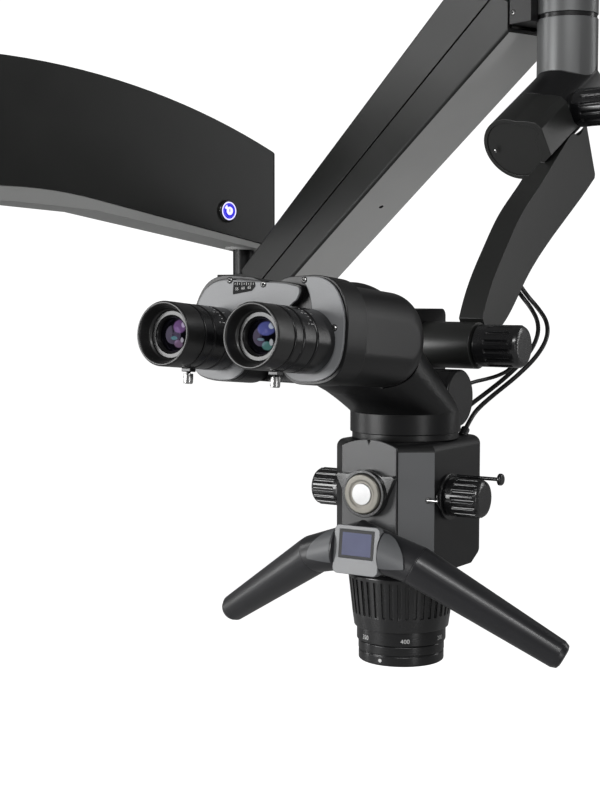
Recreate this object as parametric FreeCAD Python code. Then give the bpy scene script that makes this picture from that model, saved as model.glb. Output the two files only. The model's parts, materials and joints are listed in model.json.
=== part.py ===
import FreeCAD, Part
import math
import os
from FreeCAD import Placement, Rotation, Vector

# Surgical microscope head with its bent arm, spindle, spring balanced arm and curved main arm.
# Sizes are in millimetres. Every piece is drawn in the head's frame: the origin is on the optical
# axis at the lower face of the objective, +X is the operator's right, -Y the operator, +Z is up.
# The finished pieces are moved so that the part's origin is the mouth of the column socket.

# Running gaps
PIN_GAP = 0.1
TURN_GAP = 0.3
FACE_GAP = 0.3

# Column socket, the part that stays on the stand's pole
COLUMN_X = -595.4
COLUMN_Y = -110.2
SOCKET_FOOT_Z = 270.0
SOCKET_RADIUS = 42.0
SOCKET_HEIGHT = 92.0
POLE_RADIUS = 25.0
POLE_DEPTH = 70.0
COLUMN_PIN_RADIUS = 15.0
COLUMN_PIN_TOP_Z = 460.0

# Elbow and spindle, the two other vertical axes
ELBOW_X = -454.3
ELBOW_Y = 435.8
SPINDLE_X = 11.9
SPINDLE_Y = 270.7

# Curved main arm
ARM_WIDTH = 61.0
ARM_WALL = 3.5
ARM_END_REACH = 26.0
ARM_BACK_REACH = 48.0
ARM_TOP_Z = 505.0
ARM_LOW_Z = 378.0
ARM_END_TOP_Z = 427.7
ARM_END_LOW_Z = 322.4
ARCH_START = 215.0
SLOPE_START = 240.0
SLOPE_FULL = 340.0
SLOPE = 0.186
ARM_CORNER = 9.0
TRAY_SHALLOW = 6.0
TRAY_DEEP = 15.0
TRAY_INSET = 1.5
TRAY_WALL = 3.0
BUSH_WALL = 9.0

# Elbow post and the yoke that hangs on it
POST_RADIUS = 12.0
POST_HEAD = 7.0
YOKE_RADIUS = 30.0
YOKE_TOP_Z = 292.0
YOKE_LOW_Z = 205.0
CHEEK = 6.5
CHEEK_RADIUS = 25.0
CHEEK_ABOVE = 10.0
CHEEK_BELOW = 18.0
ARM_PIN_RADIUS = 6.0
ROD_PIN_RADIUS = 3.0

# Power button on the inner face of the main arm
BUTTON_BACK = 75.0
BUTTON_Z = 362.0
BUTTON_RADIUS = 8.5
BEZEL_RADIUS = 12.5
BEZEL_HEIGHT = 3.0
BUTTON_TRAVEL = 2.5

# Spring balanced arm: distances are measured along the level from the elbow
LOW_PIVOT_REACH = 72.0
HIGH_PIVOT_REACH = 425.0
LOW_PIVOT_Z = 282.5
HIGH_PIVOT_Z = 535.4
COVER_WIDTH = 66.0
COVER_WALL = 3.0
COVER_LOW_HEIGHT = 61.5
COVER_HIGH_HEIGHT = 83.6
COVER_PAST_LOW = 16.0
COVER_SEAM_REACH = 453.5
COVER_SEAM_Z = 530.0
COVER_SPLIT = 0.46
COVER_GROOVE = 1.6
BEAM_WIDTH = 38.0
BEAM_WALL = 4.0
BEAM_LOW = -8.0
BEAM_HIGH = 16.0
EYE_WIDTH = 44.0
ROD_DROP = 20.0
ROD_RADIUS = 4.0
SPRING_RADIUS = 7.0

# End block and spindle
END_CHEEK_RADIUS = 24.0
END_CHEEK_BELOW = 18.0
END_CHEEK_ABOVE = 22.0
END_BLOCK_TOP_Z = 600.0
END_BLOCK_LOW_Z = 510.0
END_BLOCK_START = 455.8
END_BLOCK_END = 482.0
SPINDLE_RADIUS = 26.6
SPINDLE_SPLIT_Z = 514.0
SPINDLE_RING = 4.0
SPINDLE_PIN_RADIUS = 12.0

# Oblique joint under the spindle
OBLIQUE_Z = 448.5
OBLIQUE_TILT = 34.5
OBLIQUE_TURN = -10.6
OBLIQUE_RADIUS = 29.0
OBLIQUE_BACK = 22.0
OBLIQUE_SEAM = 50.5
OBLIQUE_FACE = 94.0
OBLIQUE_SHAFT_RADIUS = 12.0
OBLIQUE_SHAFT_END = 84.0
ROLL_IN = 15.0
RIM_HEIGHT = 1.0
POCKET_DEPTH = 2.4
COVER_THICK = 1.5
COVER_INSET = 3.5

# Clutch knobs
CLUTCH_RADIUS = 16.2
CLUTCH_LENGTH = 36.0
CLUTCH_FLUTES = 14
CLUTCH_AT = 30.0
CLUTCH_STUD_RADIUS = 5.0
FLUTE_RADIUS = 1.7

# Bent arm
STRAP_LEFT = 12.5
STRAP_RIGHT = 33.0
TILT_Y = 60.0
TILT_Z = 234.5
BOSS_LEFT = -12.0
BOSS_RADIUS = 18.0
TILT_SHAFT_RADIUS = 8.0

# Carrier behind the neck
CHEEK_LEFT = -44.0
CHEEK_BACK_Y = 92.0
CHEEK_FRONT_Y = 42.0
CHEEK_TOP_Z = 262.0
CARRIER_CAP_X = 30.0
CARRIER_Y = 36.0
CARRIER_Z = 195.6
CARRIER_RADIUS = 21.5
UPRIGHT_RIGHT = 13.0

# Microscope body
BODY_HALF = 41.4
PANEL_HALF = 23.2
BODY_FRONT = -47.0
CHAMFER_BACK = -26.0
BODY_REAR = 57.0
REAR_CORNER = 13.0
BODY_LOW_Z = 71.0
BODY_TOP_Z = 167.0
BODY_WALL = 3.5
REAR_RISE = 14.0
PANEL_THICK = 2.0
PANEL_INSET = 0.5
PANEL_EDGE_Z = 164.4
PANEL_MIDDLE_Z = 169.6
NECK_RADIUS = 41.4
NECK_Y = 4.7
NECK_RING_TOP_Z = 172.0
NECK_TOP_Z = 187.0

# Binocular tube
TUBE_Y = -76.0
TUBE_Z = 243.0
BALL_RADIUS = 40.0
BALL_BACK = 10.0
BALL_HALF = 25.0
DOME_RADIUS = 33.0
DOME_END = 50.0
DOME_ROUND = 22.0
TUBE_PIN_RADIUS = 9.0
EYE_TILT = 5.1
EYE_HALF = 33.5
EYE_Y = -178.3
EYE_Z = 245.0
BOX_DEPTH = 24.0
LEAF_STEP = 5.0
PLATE_THICK = 2.0
HINGE_UP = 17.0
SWING_IN = 12.0
HINGE_PIN_RADIUS = 3.0

# Eyepieces, heights measured from the prism plate
EYE_RADIUS = 20.5
EYE_LENGTH = 67.0
CUP_START = 49.0
RING_START = 25.0
SLEEVE_RADIUS = 15.0
SLEEVE_TOP = 58.0
EYE_GLASS_RADIUS = 12.0
SPIGOT_RADIUS = 14.0
LOCK_SCREW_AT = 38.0
LOCK_SCREW_REACH = 30.0

# Objective
RING_RADIUS = 32.1
RING_TOP = 15.0
DIAL_RADIUS = 33.5
DIAL_TOP = 26.0
RIB_LOW_RADIUS = 36.8
RIB_LOW_Z = 35.0
RIB_TOP_RADIUS = 40.2
RIB_TOP_Z = 69.7
RIB_COUNT = 40
RIB_SLOT = 2.6
BARREL_RADIUS = 30.0
BARREL_WALL = 2.0
CELL_RADIUS = 27.95
CELL_LOW_Z = 20.0
CELL_HEIGHT = 16.0

# Magnification changer
KNOB_Y = -4.0
KNOB_Z = 126.3
KNOB_RADIUS = 14.3
KNOB_LENGTH = 27.0
KNOB_FLUTES = 16
TURRET_RADIUS = 30.0
TURRET_HALF = 26.0
KNOB_SHAFT_RADIUS = 4.0
FLANGE_RADIUS = 17.0
FLANGE_THICK = 2.4

# Filter ring and its fixed cap on the front panel
FILTER_Z = 131.0
FILTER_RADIUS = 17.2
CAP_RADIUS = 14.6
FILTER_HEIGHT = 10.0
WING_REACH = 24.5
PULL_ROD_Y = 10.5
PULL_ROD_Z = 139.5
PULL_ROD_RADIUS = 1.4
PULL_ROD_REACH = 78.0
PULL_ROD_LENGTH = 46.0

# Handles and display pod
HANDLE_START = 42.0
HANDLE_TIP = 142.0
HANDLE_LINE_Y = -67.7
HANDLE_LINE_Z = 108.2
HANDLE_BACK = 0.3154
HANDLE_DROP = 0.5958
HANDLE_START_RADIUS = 14.6
HANDLE_TIP_RADIUS = 10.2
HUB_Y = -58.0
HUB_Z = 95.0
HUB_DEPTH = 15.0
HUB_HALF_HEIGHT = 17.3
POD_HALF = 18.8
POD_LOW_Z = 74.0
POD_HEIGHT = 35.0
POD_THICK = 6.0
POD_TILT = 7.2
POD_Y = -68.9
SCREEN_HALF = 14.4
SCREEN_HEIGHT = 20.5
SCREEN_UP = 11.5

# Leads between the bent arm and the head, with their routes in the head's frame
LEAD_RADIUS = 1.8
SHORT_LEAD_RADIUS = 1.5
GLAND_WALL = 1.6
GLAND_LENGTH = 8.0
ARC_SHARE = 0.45

UP = Vector(0, 0, 1)
RIGHT = Vector(1, 0, 0)
BACK = Vector(0, 1, 0)
COLUMN_FOOT = Vector(COLUMN_X, COLUMN_Y, SOCKET_FOOT_Z)


def rod(start, direction, radius, length):
    return Part.makeCylinder(radius, length, start, direction)


def tube(start, direction, outer, inner, length):
    return rod(start, direction, outer, length).cut(rod(start, direction, inner, length))


def block(low, high):
    size = high.sub(low)
    return Part.makeBox(size.x, size.y, size.z, low)


def turned(profile):
    """Solid of revolution about Z from a closed outline of (radius, height) points."""
    points = [Vector(radius, 0, height) for radius, height in profile]
    face = Part.Face(Part.makePolygon(points + points[:1]))
    return face.revolve(Vector(0, 0, 0), UP, 360)


def placed(shape, frame):
    shape.Placement = frame.multiply(shape.Placement)
    return shape


def at(shape, base, direction):
    return placed(shape, Placement(base, Rotation(UP, direction)))


def plate(outline, thickness):
    """Flat plate in the XY plane from a closed outline of points."""
    points = [Vector(x, y, 0) for x, y in outline]
    return Part.Face(Part.makePolygon(points + points[:1])).extrude(Vector(0, 0, thickness))


def joined(*shapes):
    first = shapes[0]
    return first.fuse(list(shapes[1:])).removeSplitter()


def fluted_knob(radius, length, flutes, base_height, cap_height, bore):
    """Knob along Z: smooth base, fluted grip, smooth domed cap, blind bore for its shaft."""
    bevel = 1.6
    outline = [(0, 0), (radius - 0.6, 0), (radius, 0.6), (radius, length - bevel - 2),
               (radius - bevel, length - 1), (radius - bevel - 3, length), (0, length)]
    knob = turned(outline)
    grip = length - base_height - cap_height
    cutters = []
    for index in range(flutes):
        angle = 2 * math.pi * index / flutes
        place = Vector(radius * 1.03 * math.cos(angle), radius * 1.03 * math.sin(angle), base_height)
        cutters.append(Part.makeCylinder(FLUTE_RADIUS, grip, place, UP))
    knob = knob.cut(cutters)
    return knob.cut(Part.makeCylinder(bore + PIN_GAP, length * 0.6, Vector(0, 0, 0), UP))


nodes = {}

# Column socket: a hub that clamps on the stand's pole, with the pin that the main arm turns on
column = Vector(COLUMN_X, COLUMN_Y, 0)
socket_outline = [(0, 0), (SOCKET_RADIUS - 3, 0), (SOCKET_RADIUS, 3), (SOCKET_RADIUS, SOCKET_HEIGHT - 14),
                  (SOCKET_RADIUS - 5, SOCKET_HEIGHT), (0, SOCKET_HEIGHT)]
socket = turned(socket_outline)
socket.translate(COLUMN_FOOT)
socket = socket.cut(rod(COLUMN_FOOT, UP, POLE_RADIUS, POLE_DEPTH))
socket_top_z = SOCKET_FOOT_Z + SOCKET_HEIGHT
column_pin = rod(Vector(COLUMN_X, COLUMN_Y, socket_top_z), UP, COLUMN_PIN_RADIUS,
                 COLUMN_PIN_TOP_Z - socket_top_z)
nodes["column_socket"] = joined(socket, column_pin)

# Main arm: an arched hollow housing over the column and the elbow, closed below by a base plate
elbow = Vector(ELBOW_X, ELBOW_Y, 0)
along = elbow.sub(column)
arm_span = along.Length
along.normalize()
arm_frame = Placement(column, Rotation(along, UP.cross(along), UP, "XYZ"))
end_x = arm_span + ARM_END_REACH
back_x = -ARM_BACK_REACH
half_width = ARM_WIDTH / 2
arch_run = end_x - ARCH_START
arch_drop = ARM_TOP_Z - ARM_END_TOP_Z
arch_radius = (arch_run ** 2 + arch_drop ** 2) / (2 * arch_drop)


def arch_z(x):
    return ARM_TOP_Z - arch_radius + math.sqrt(arch_radius ** 2 - (x - ARCH_START) ** 2)


def joined_edges(points):
    """Closed wire of lines, or of arcs where a step holds its middle point too."""
    edges = []
    for start, step in zip(points, points[1:]):
        first = start[-1]
        if len(step) == 2:
            edges.append(Part.Arc(first, step[0], step[1]).toShape())
        else:
            edges.append(Part.makeLine(first, step[0]))
    return Part.Wire(edges)


def side_line(x, z):
    return Vector(x, 0, z)


def along_x_prism(wire, width):
    solid = Part.Face(wire).extrude(Vector(0, width, 0))
    solid.translate(Vector(0, -width / 2, 0))
    return solid


def corners_rounded(solid, radius, x):
    edges = []
    for edge in solid.Edges:
        box = edge.BoundBox
        if box.ZLength > 5 and box.XLength < 0.1 and box.YLength < 0.1 and abs(box.XMin - x) < 0.1:
            edges.append(edge)
    return solid.makeFillet(radius, edges)


slope_start_z = ARM_LOW_Z
slope_full_z = ARM_LOW_Z - (SLOPE_FULL - SLOPE_START) * SLOPE / 2
slope_middle = side_line((SLOPE_START + SLOPE_FULL) / 2, ARM_LOW_Z - (SLOPE_FULL - SLOPE_START) * SLOPE / 8)
arch_middle_x = (ARCH_START + end_x) / 2
housing_steps = [[side_line(back_x, ARM_TOP_Z)], [side_line(ARCH_START, ARM_TOP_Z)],
                 [side_line(arch_middle_x, arch_z(arch_middle_x)), side_line(end_x, ARM_END_TOP_Z)],
                 [side_line(end_x, ARM_END_LOW_Z)], [side_line(SLOPE_FULL, slope_full_z)],
                 [slope_middle, side_line(SLOPE_START, slope_start_z)], [side_line(back_x, ARM_LOW_Z)],
                 [side_line(back_x, ARM_TOP_Z)]]
housing_wire = joined_edges(housing_steps)
housing = along_x_prism(housing_wire, ARM_WIDTH)
housing = corners_rounded(housing, ARM_CORNER, end_x)
housing = corners_rounded(housing, half_width - 1, back_x)
inner_wire = housing_wire.makeOffset2D(-ARM_WALL)
cavity = along_x_prism(inner_wire, ARM_WIDTH - 2 * ARM_WALL)
cavity = corners_rounded(cavity, ARM_CORNER - ARM_WALL, end_x - ARM_WALL)
cavity = corners_rounded(cavity, half_width - ARM_WALL - 1, back_x + ARM_WALL)
mouth = cavity.translated(Vector(0, 0, -2 * ARM_WALL))
housing = housing.cut([cavity, mouth])

# Tray that closes the housing from below, with the two bearing bosses
tray_front = end_x - TRAY_INSET
tray_back = back_x + TRAY_INSET
tray_width = ARM_WIDTH - 2 * TRAY_INSET
tray_steps = [[side_line(tray_back, ARM_LOW_Z)], [side_line(SLOPE_START, ARM_LOW_Z)],
              [slope_middle, side_line(SLOPE_FULL, slope_full_z)], [side_line(tray_front, ARM_END_LOW_Z)],
              [side_line(tray_front, ARM_END_LOW_Z - TRAY_SHALLOW)],
              [side_line(SLOPE_FULL, slope_full_z - TRAY_SHALLOW - (TRAY_DEEP - TRAY_SHALLOW) * 0.6)],
              [side_line(SLOPE_START, ARM_LOW_Z - TRAY_DEEP)], [side_line(tray_back, ARM_LOW_Z - TRAY_DEEP)],
              [side_line(tray_back, ARM_LOW_Z)]]
tray = along_x_prism(joined_edges(tray_steps), tray_width)
tray = corners_rounded(tray, ARM_CORNER - TRAY_INSET, tray_front)
tray = corners_rounded(tray, half_width - TRAY_INSET - 1, tray_back)
pocket = tray.common(block(Vector(tray_back + 2 * TRAY_WALL, -tray_width / 2 + TRAY_WALL, 0),
                           Vector(tray_front - 2 * TRAY_WALL, tray_width / 2 - TRAY_WALL, 900)))
tray = tray.cut(pocket.translated(Vector(0, 0, TRAY_WALL)))
column_bush_low_z = socket_top_z + FACE_GAP
bush_top_z = COLUMN_PIN_TOP_Z + ARM_WALL
bush_height = bush_top_z - column_bush_low_z
column_bush = rod(Vector(0, 0, column_bush_low_z), UP, COLUMN_PIN_RADIUS + BUSH_WALL, bush_height)
boss_low_z = ARM_END_LOW_Z - 2
post_top_z = ARM_END_TOP_Z - 30
elbow_boss = rod(Vector(arm_span, 0, boss_low_z), UP, POST_RADIUS + BUSH_WALL, post_top_z - boss_low_z)
tray = joined(tray, column_bush, elbow_boss)
tray = tray.cut([rod(Vector(0, 0, 0), UP, COLUMN_PIN_RADIUS + PIN_GAP, COLUMN_PIN_TOP_Z + 1),
                 rod(Vector(arm_span, 0, 0), UP, POST_RADIUS, 900)])
housing.Placement = arm_frame
tray.Placement = arm_frame
nodes["main_arm_base_plate"] = tray

# Elbow post: pressed into the main arm, with a retaining head under the yoke
head_top_z = YOKE_LOW_Z - FACE_GAP
post_profile = [(0, head_top_z - POST_HEAD), (POST_RADIUS + 3, head_top_z - POST_HEAD),
                (POST_RADIUS + 4, head_top_z - POST_HEAD + 1), (POST_RADIUS + 4, head_top_z),
                (POST_RADIUS, head_top_z), (POST_RADIUS, post_top_z), (0, post_top_z)]
nodes["elbow_post"] = turned(post_profile).translated(elbow)

# Power button: bezel and cap sit in the inner face of the housing
inner_face = along.cross(UP)
button_seat = elbow.add(along * (ARM_END_REACH - BUTTON_BACK)).add(inner_face * half_width)
button_seat.z = BUTTON_Z
bezel = turned([(BUTTON_RADIUS + 0.2, -ARM_WALL - 6), (BEZEL_RADIUS - 2.5, -ARM_WALL - 6),
                (BEZEL_RADIUS - 2.5, 0), (BEZEL_RADIUS, 0), (BEZEL_RADIUS, BEZEL_HEIGHT - 1),
                (BEZEL_RADIUS - 1, BEZEL_HEIGHT), (BUTTON_RADIUS + 0.2, BEZEL_HEIGHT)])
nodes["power_button_bezel"] = at(bezel, button_seat, inner_face)
cap = turned([(0, -ARM_WALL - 1), (BUTTON_RADIUS, -ARM_WALL - 1), (BUTTON_RADIUS, BEZEL_HEIGHT + 0.2),
              (BUTTON_RADIUS - 0.8, BEZEL_HEIGHT + 1), (0, BEZEL_HEIGHT + 1)])
nodes["power_button_cap"] = at(cap, button_seat, inner_face)
nodes["main_arm_housing"] = housing.cut(
    rod(button_seat.sub(inner_face * 20), inner_face, BEZEL_RADIUS - 2.5, 30))

# Level frame of the spring arm, from the elbow towards the spindle
spindle = Vector(SPINDLE_X, SPINDLE_Y, 0)
level = spindle.sub(elbow)
reach = level.Length
level.normalize()
yoke_frame = Placement(elbow, Rotation(level, UP.cross(level), UP, "XYZ"))
pin_axis = level.cross(UP)
low_pivot = elbow.add(level * LOW_PIVOT_REACH)
low_pivot.z = LOW_PIVOT_Z
high_pivot = elbow.add(level * HIGH_PIVOT_REACH)
high_pivot.z = HIGH_PIVOT_Z
arm_vector = high_pivot.sub(low_pivot)
arm_length = arm_vector.Length
arm_direction = Vector(arm_vector).normalize()
beam_frame = Placement(low_pivot, Rotation(arm_direction, UP.cross(level),
                                           arm_direction.cross(UP.cross(level)), "XYZ"))


cover_half = COVER_WIDTH / 2
cheek_outer = cover_half - COVER_WALL - PIN_GAP * 4


def cheek_pair(pivot_x, pivot_z, radius, far_x, below, above):
    """Two side plates inside the covers, with a round end at the pivot, reaching to far_x."""
    sides = []
    for start_y in (-cheek_outer, cheek_outer - CHEEK):
        disc = rod(Vector(pivot_x, start_y, pivot_z), BACK, radius, CHEEK)
        near, far = sorted((pivot_x, far_x))
        web = block(Vector(near, start_y, pivot_z - below), Vector(far, start_y + CHEEK, pivot_z + above))
        sides.append(disc.fuse(web).removeSplitter())
    return sides


def cross_pins(x, z):
    """The beam's pin and, a rod drop below, the tie rod's pin, from cheek to cheek."""
    beam_pin = rod(Vector(x, -cheek_outer, z), BACK, ARM_PIN_RADIUS, 2 * cheek_outer)
    rod_pin = rod(Vector(x, -cheek_outer, z - ROD_DROP), BACK, ROD_PIN_RADIUS, 2 * cheek_outer)
    return Part.makeCompound([beam_pin, rod_pin])


# Yoke at the elbow: hub on the post and two cheeks that carry the lower pins
yoke_hub = rod(Vector(0, 0, YOKE_LOW_Z), UP, YOKE_RADIUS, YOKE_TOP_Z - YOKE_LOW_Z)
yoke_web = block(Vector(0, -cheek_outer, YOKE_LOW_Z + 12), Vector(YOKE_RADIUS, cheek_outer, YOKE_TOP_Z))
yoke_cheeks = cheek_pair(LOW_PIVOT_REACH, LOW_PIVOT_Z, CHEEK_RADIUS, YOKE_RADIUS - 6, CHEEK_BELOW, CHEEK_ABOVE)
yoke = joined(yoke_hub, yoke_web, *yoke_cheeks)
yoke = yoke.cut(rod(Vector(0, 0, 0), UP, POST_RADIUS + PIN_GAP, 900))
yoke_pins = cross_pins(LOW_PIVOT_REACH, LOW_PIVOT_Z)
nodes["elbow_yoke"] = placed(yoke.cut(yoke_pins), yoke_frame)
nodes["yoke_pivot_pins"] = placed(yoke_pins, yoke_frame)

# Spring arm beam: a box beam with an eye at each pivot
beam_box = block(Vector(0, -BEAM_WIDTH / 2, BEAM_LOW), Vector(arm_length, BEAM_WIDTH / 2, BEAM_HIGH))
beam_inner = block(Vector(30, -BEAM_WIDTH / 2 + BEAM_WALL, BEAM_LOW + BEAM_WALL),
                   Vector(arm_length - 30, BEAM_WIDTH / 2 - BEAM_WALL, BEAM_HIGH - BEAM_WALL))
eyes = [rod(Vector(x, -EYE_WIDTH / 2, 0), BACK, BEAM_HIGH, EYE_WIDTH) for x in (0, arm_length)]
beam = joined(beam_box, *eyes).cut(beam_inner)
rod_gap = ROD_RADIUS + 4
rod_slots = []
for x in (0, arm_length):
    rod_slots.append(rod(Vector(x, -EYE_WIDTH, 0), BACK, ARM_PIN_RADIUS + PIN_GAP, 2 * EYE_WIDTH))
    rod_slots.append(block(Vector(x - 40, -rod_gap, -60), Vector(x + 40, rod_gap, BEAM_LOW)))
beam = beam.cut(rod_slots)
beam.Placement = beam_frame
nodes["arm_beam"] = beam

# Tie rod under the beam: it keeps the end block level
rod_start = Vector(low_pivot.x, low_pivot.y, low_pivot.z - ROD_DROP)
tie_bar = rod(Vector(0, 0, 0), RIGHT, ROD_RADIUS, arm_length)
tie_eyes = [rod(Vector(x, -ROD_RADIUS, 0), BACK, ROD_PIN_RADIUS + 2.5, 2 * ROD_RADIUS)
            for x in (0, arm_length)]
tie_holes = [rod(Vector(0, -20, 0), BACK, ROD_PIN_RADIUS + PIN_GAP, 40),
             rod(Vector(arm_length, -20, 0), BACK, ROD_PIN_RADIUS + 0.5, 40)]
tie_rod = joined(tie_bar, *tie_eyes).cut(tie_holes)
tie_rod.Placement = Placement(rod_start, beam_frame.Rotation)
nodes["tie_rod"] = tie_rod

# Balance spring inside the beam, shown as its closed tube with end plugs
spring = turned([(0, 0), (3, 0), (3, 12), (SPRING_RADIUS, 12), (SPRING_RADIUS, 260), (4, 260), (4, 290), (0, 290)])
spring = at(spring, Vector(40, 0, (BEAM_LOW + BEAM_HIGH) / 2), RIGHT)
seats = [block(Vector(x, -BEAM_WIDTH / 2 + BEAM_WALL, BEAM_LOW + BEAM_WALL),
               Vector(x + 4, BEAM_WIDTH / 2 - BEAM_WALL, BEAM_HIGH - BEAM_WALL)) for x in (52, 301)]
spring = joined(spring, *seats)
spring.Placement = beam_frame.multiply(spring.Placement)
nodes["balance_spring"] = spring


# Spring arm covers: a tapered box split along its side, with a groove between the halves.
# The upper end is cut upright where it meets the end block, and slants back above the seam.
cover_start = -COVER_PAST_LOW
cover_taper = (COVER_HIGH_HEIGHT - COVER_LOW_HEIGHT) / arm_length


def cover_half_height(x):
    return (COVER_LOW_HEIGHT + x * cover_taper) / 2


def tapered_box(inset, start_x, finish_x):
    wide = cover_half - inset
    low, high = (cover_half_height(x) - inset for x in (start_x, finish_x))
    outline = [Vector(start_x, -wide, -low), Vector(finish_x, -wide, -high), Vector(finish_x, -wide, high),
               Vector(start_x, -wide, low)]
    return Part.Face(Part.makePolygon(outline + outline[:1])).extrude(Vector(0, 2 * wide, 0))


cover_finish = arm_length + 60
outer_box = tapered_box(0, cover_start, cover_finish)
long_edges = [edge for edge in outer_box.Edges if edge.Length > 100]
outer_box = outer_box.makeFillet(3, long_edges)
cover_shell = outer_box.cut(tapered_box(COVER_WALL, cover_start - 1, cover_finish + 1))


def split_wedge(lower):
    """The space under or over the split line, which rises with the taper."""
    edge = []
    for x in (cover_start - 5, cover_finish + 5):
        split = 2 * cover_half_height(x) * (COVER_SPLIT - 0.5)
        edge.append(Vector(x, -COVER_WIDTH, split - COVER_GROOVE / 2 if lower else split + COVER_GROOVE / 2))
    far = -COVER_WIDTH * 2 if lower else COVER_WIDTH * 2
    outline = edge + [Vector(edge[1].x, -COVER_WIDTH, far), Vector(edge[0].x, -COVER_WIDTH, far)]
    return Part.Face(Part.makePolygon(outline + outline[:1])).extrude(Vector(0, 2 * COVER_WIDTH, 0))


upper_cover = cover_shell.common(split_wedge(False))
lower_cover = cover_shell.common(split_wedge(True))
rib_places = (45.0, arm_length - 60.0)
rib_bite = COVER_WALL / 2
upper_ribs = []
lower_ribs = []
for x in rib_places:
    top_inside = cover_half_height(x) - rib_bite
    rib_half = cover_half - rib_bite
    upper_ribs.append(block(Vector(x, -rib_half, BEAM_HIGH), Vector(x + 4, rib_half, top_inside)))
    for low_y, high_y in ((-rib_half, -BEAM_WIDTH / 2), (BEAM_WIDTH / 2, rib_half)):
        lower_ribs.append(block(Vector(x, low_y, -top_inside), Vector(x + 4, high_y, BEAM_LOW)))
upper_cover = joined(upper_cover, *upper_ribs)
access_hole = rod(Vector(arm_length * 0.42, 2, -cover_half * 2), UP, 2.5, cover_half)
lower_cover = joined(lower_cover, *lower_ribs).cut(access_hole)
upper_cover = placed(upper_cover, beam_frame)
lower_cover = placed(lower_cover, beam_frame)
slant_top_x = HIGH_PIVOT_REACH - (arm_direction.z * COVER_HIGH_HEIGHT / 2)
slant_top_z = HIGH_PIVOT_Z + COVER_HIGH_HEIGHT / 2 * arm_direction.dot(level)
slant_run = COVER_SEAM_REACH - slant_top_x
slant_rise = slant_top_z - COVER_SEAM_Z
end_room_points = [Vector(COVER_SEAM_REACH, -COVER_WIDTH, 300), Vector(COVER_SEAM_REACH, -COVER_WIDTH, COVER_SEAM_Z),
                   Vector(slant_top_x - slant_run, -COVER_WIDTH, slant_top_z + slant_rise),
                   Vector(reach + 200, -COVER_WIDTH, slant_top_z + slant_rise), Vector(reach + 200, -COVER_WIDTH, 300)]
end_room = Part.Face(Part.makePolygon(end_room_points + end_room_points[:1])).extrude(Vector(0, 2 * COVER_WIDTH, 0))
end_room = placed(end_room, yoke_frame)
nodes["arm_upper_cover"] = upper_cover.cut(end_room)
nodes["arm_lower_cover"] = lower_cover.cut(end_room)

# End block: cheeks on the upper pins, a head over the spindle and the fixed upper tube
end_head = block(Vector(END_BLOCK_START, -cover_half, END_BLOCK_LOW_Z),
                 Vector(END_BLOCK_END, cover_half, END_BLOCK_TOP_Z))
end_cheeks = cheek_pair(HIGH_PIVOT_REACH, HIGH_PIVOT_Z, END_CHEEK_RADIUS, END_BLOCK_START + 2, END_CHEEK_BELOW,
                        END_CHEEK_ABOVE)
upper_tube_low_z = SPINDLE_SPLIT_Z + SPINDLE_RING / 2
turning_room = rod(Vector(reach, 0, 0), UP, SPINDLE_RADIUS + 2 * TURN_GAP, upper_tube_low_z)
upper_tube = rod(Vector(reach, 0, upper_tube_low_z), UP, SPINDLE_RADIUS, END_BLOCK_TOP_Z - upper_tube_low_z)
end_bore = rod(Vector(reach, 0, 0), UP, SPINDLE_PIN_RADIUS + PIN_GAP, END_BLOCK_TOP_Z - 8)
end_block = joined(end_head.cut(turning_room), *end_cheeks, upper_tube).cut(end_bore)
end_pins = cross_pins(HIGH_PIVOT_REACH, HIGH_PIVOT_Z)
nodes["end_block"] = placed(end_block.cut(end_pins), yoke_frame)
nodes["end_block_pins"] = placed(end_pins, yoke_frame)

# Knuckle under the spindle: vertical tube, black gap ring, pin and the oblique housing
tilt = math.radians(OBLIQUE_TILT)
turn = math.radians(OBLIQUE_TURN)
oblique = Vector(math.sin(turn) * math.cos(tilt), -math.cos(turn) * math.cos(tilt), -math.sin(tilt))
oblique_centre = Vector(SPINDLE_X, SPINDLE_Y, OBLIQUE_Z)
lower_tube_top_z = SPINDLE_SPLIT_Z - SPINDLE_RING / 2
lower_tube = rod(Vector(SPINDLE_X, SPINDLE_Y, OBLIQUE_Z), UP, SPINDLE_RADIUS, lower_tube_top_z - OBLIQUE_Z)
ring_neck = rod(Vector(SPINDLE_X, SPINDLE_Y, lower_tube_top_z), UP, SPINDLE_RADIUS - 2.5,
                SPINDLE_RING - FACE_GAP)
spindle_pin = rod(Vector(SPINDLE_X, SPINDLE_Y, lower_tube_top_z), UP, SPINDLE_PIN_RADIUS,
                  END_BLOCK_TOP_Z - 12 - lower_tube_top_z)
knuckle_barrel = rod(oblique_centre.sub(oblique * OBLIQUE_BACK), oblique, OBLIQUE_RADIUS,
                     OBLIQUE_BACK + OBLIQUE_SEAM)
knuckle_barrel = knuckle_barrel.makeFillet(9, [edge for edge in knuckle_barrel.Edges
                                               if edge.CenterOfMass.distanceToPoint(
                                                   oblique_centre.sub(oblique * OBLIQUE_BACK)) < 1])
oblique_shaft = rod(oblique_centre.add(oblique * OBLIQUE_SEAM), oblique, OBLIQUE_SHAFT_RADIUS,
                    OBLIQUE_SHAFT_END - OBLIQUE_SEAM)
clutch_axis = Vector(math.cos(turn), math.sin(turn), 0)
clutch_centre = oblique_centre.add(oblique * CLUTCH_AT)
clutch_reach = OBLIQUE_RADIUS + 1.5
clutch_seat = clutch_centre.add(clutch_axis * clutch_reach)
clutch_boss = rod(clutch_centre, clutch_axis, CLUTCH_RADIUS - 2.5, clutch_reach)
clutch_stud = rod(clutch_seat, clutch_axis, CLUTCH_STUD_RADIUS, CLUTCH_LENGTH * 0.55)
nodes["spindle_knuckle"] = joined(lower_tube, ring_neck, spindle_pin, knuckle_barrel, oblique_shaft,
                                  clutch_boss, clutch_stud)
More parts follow.
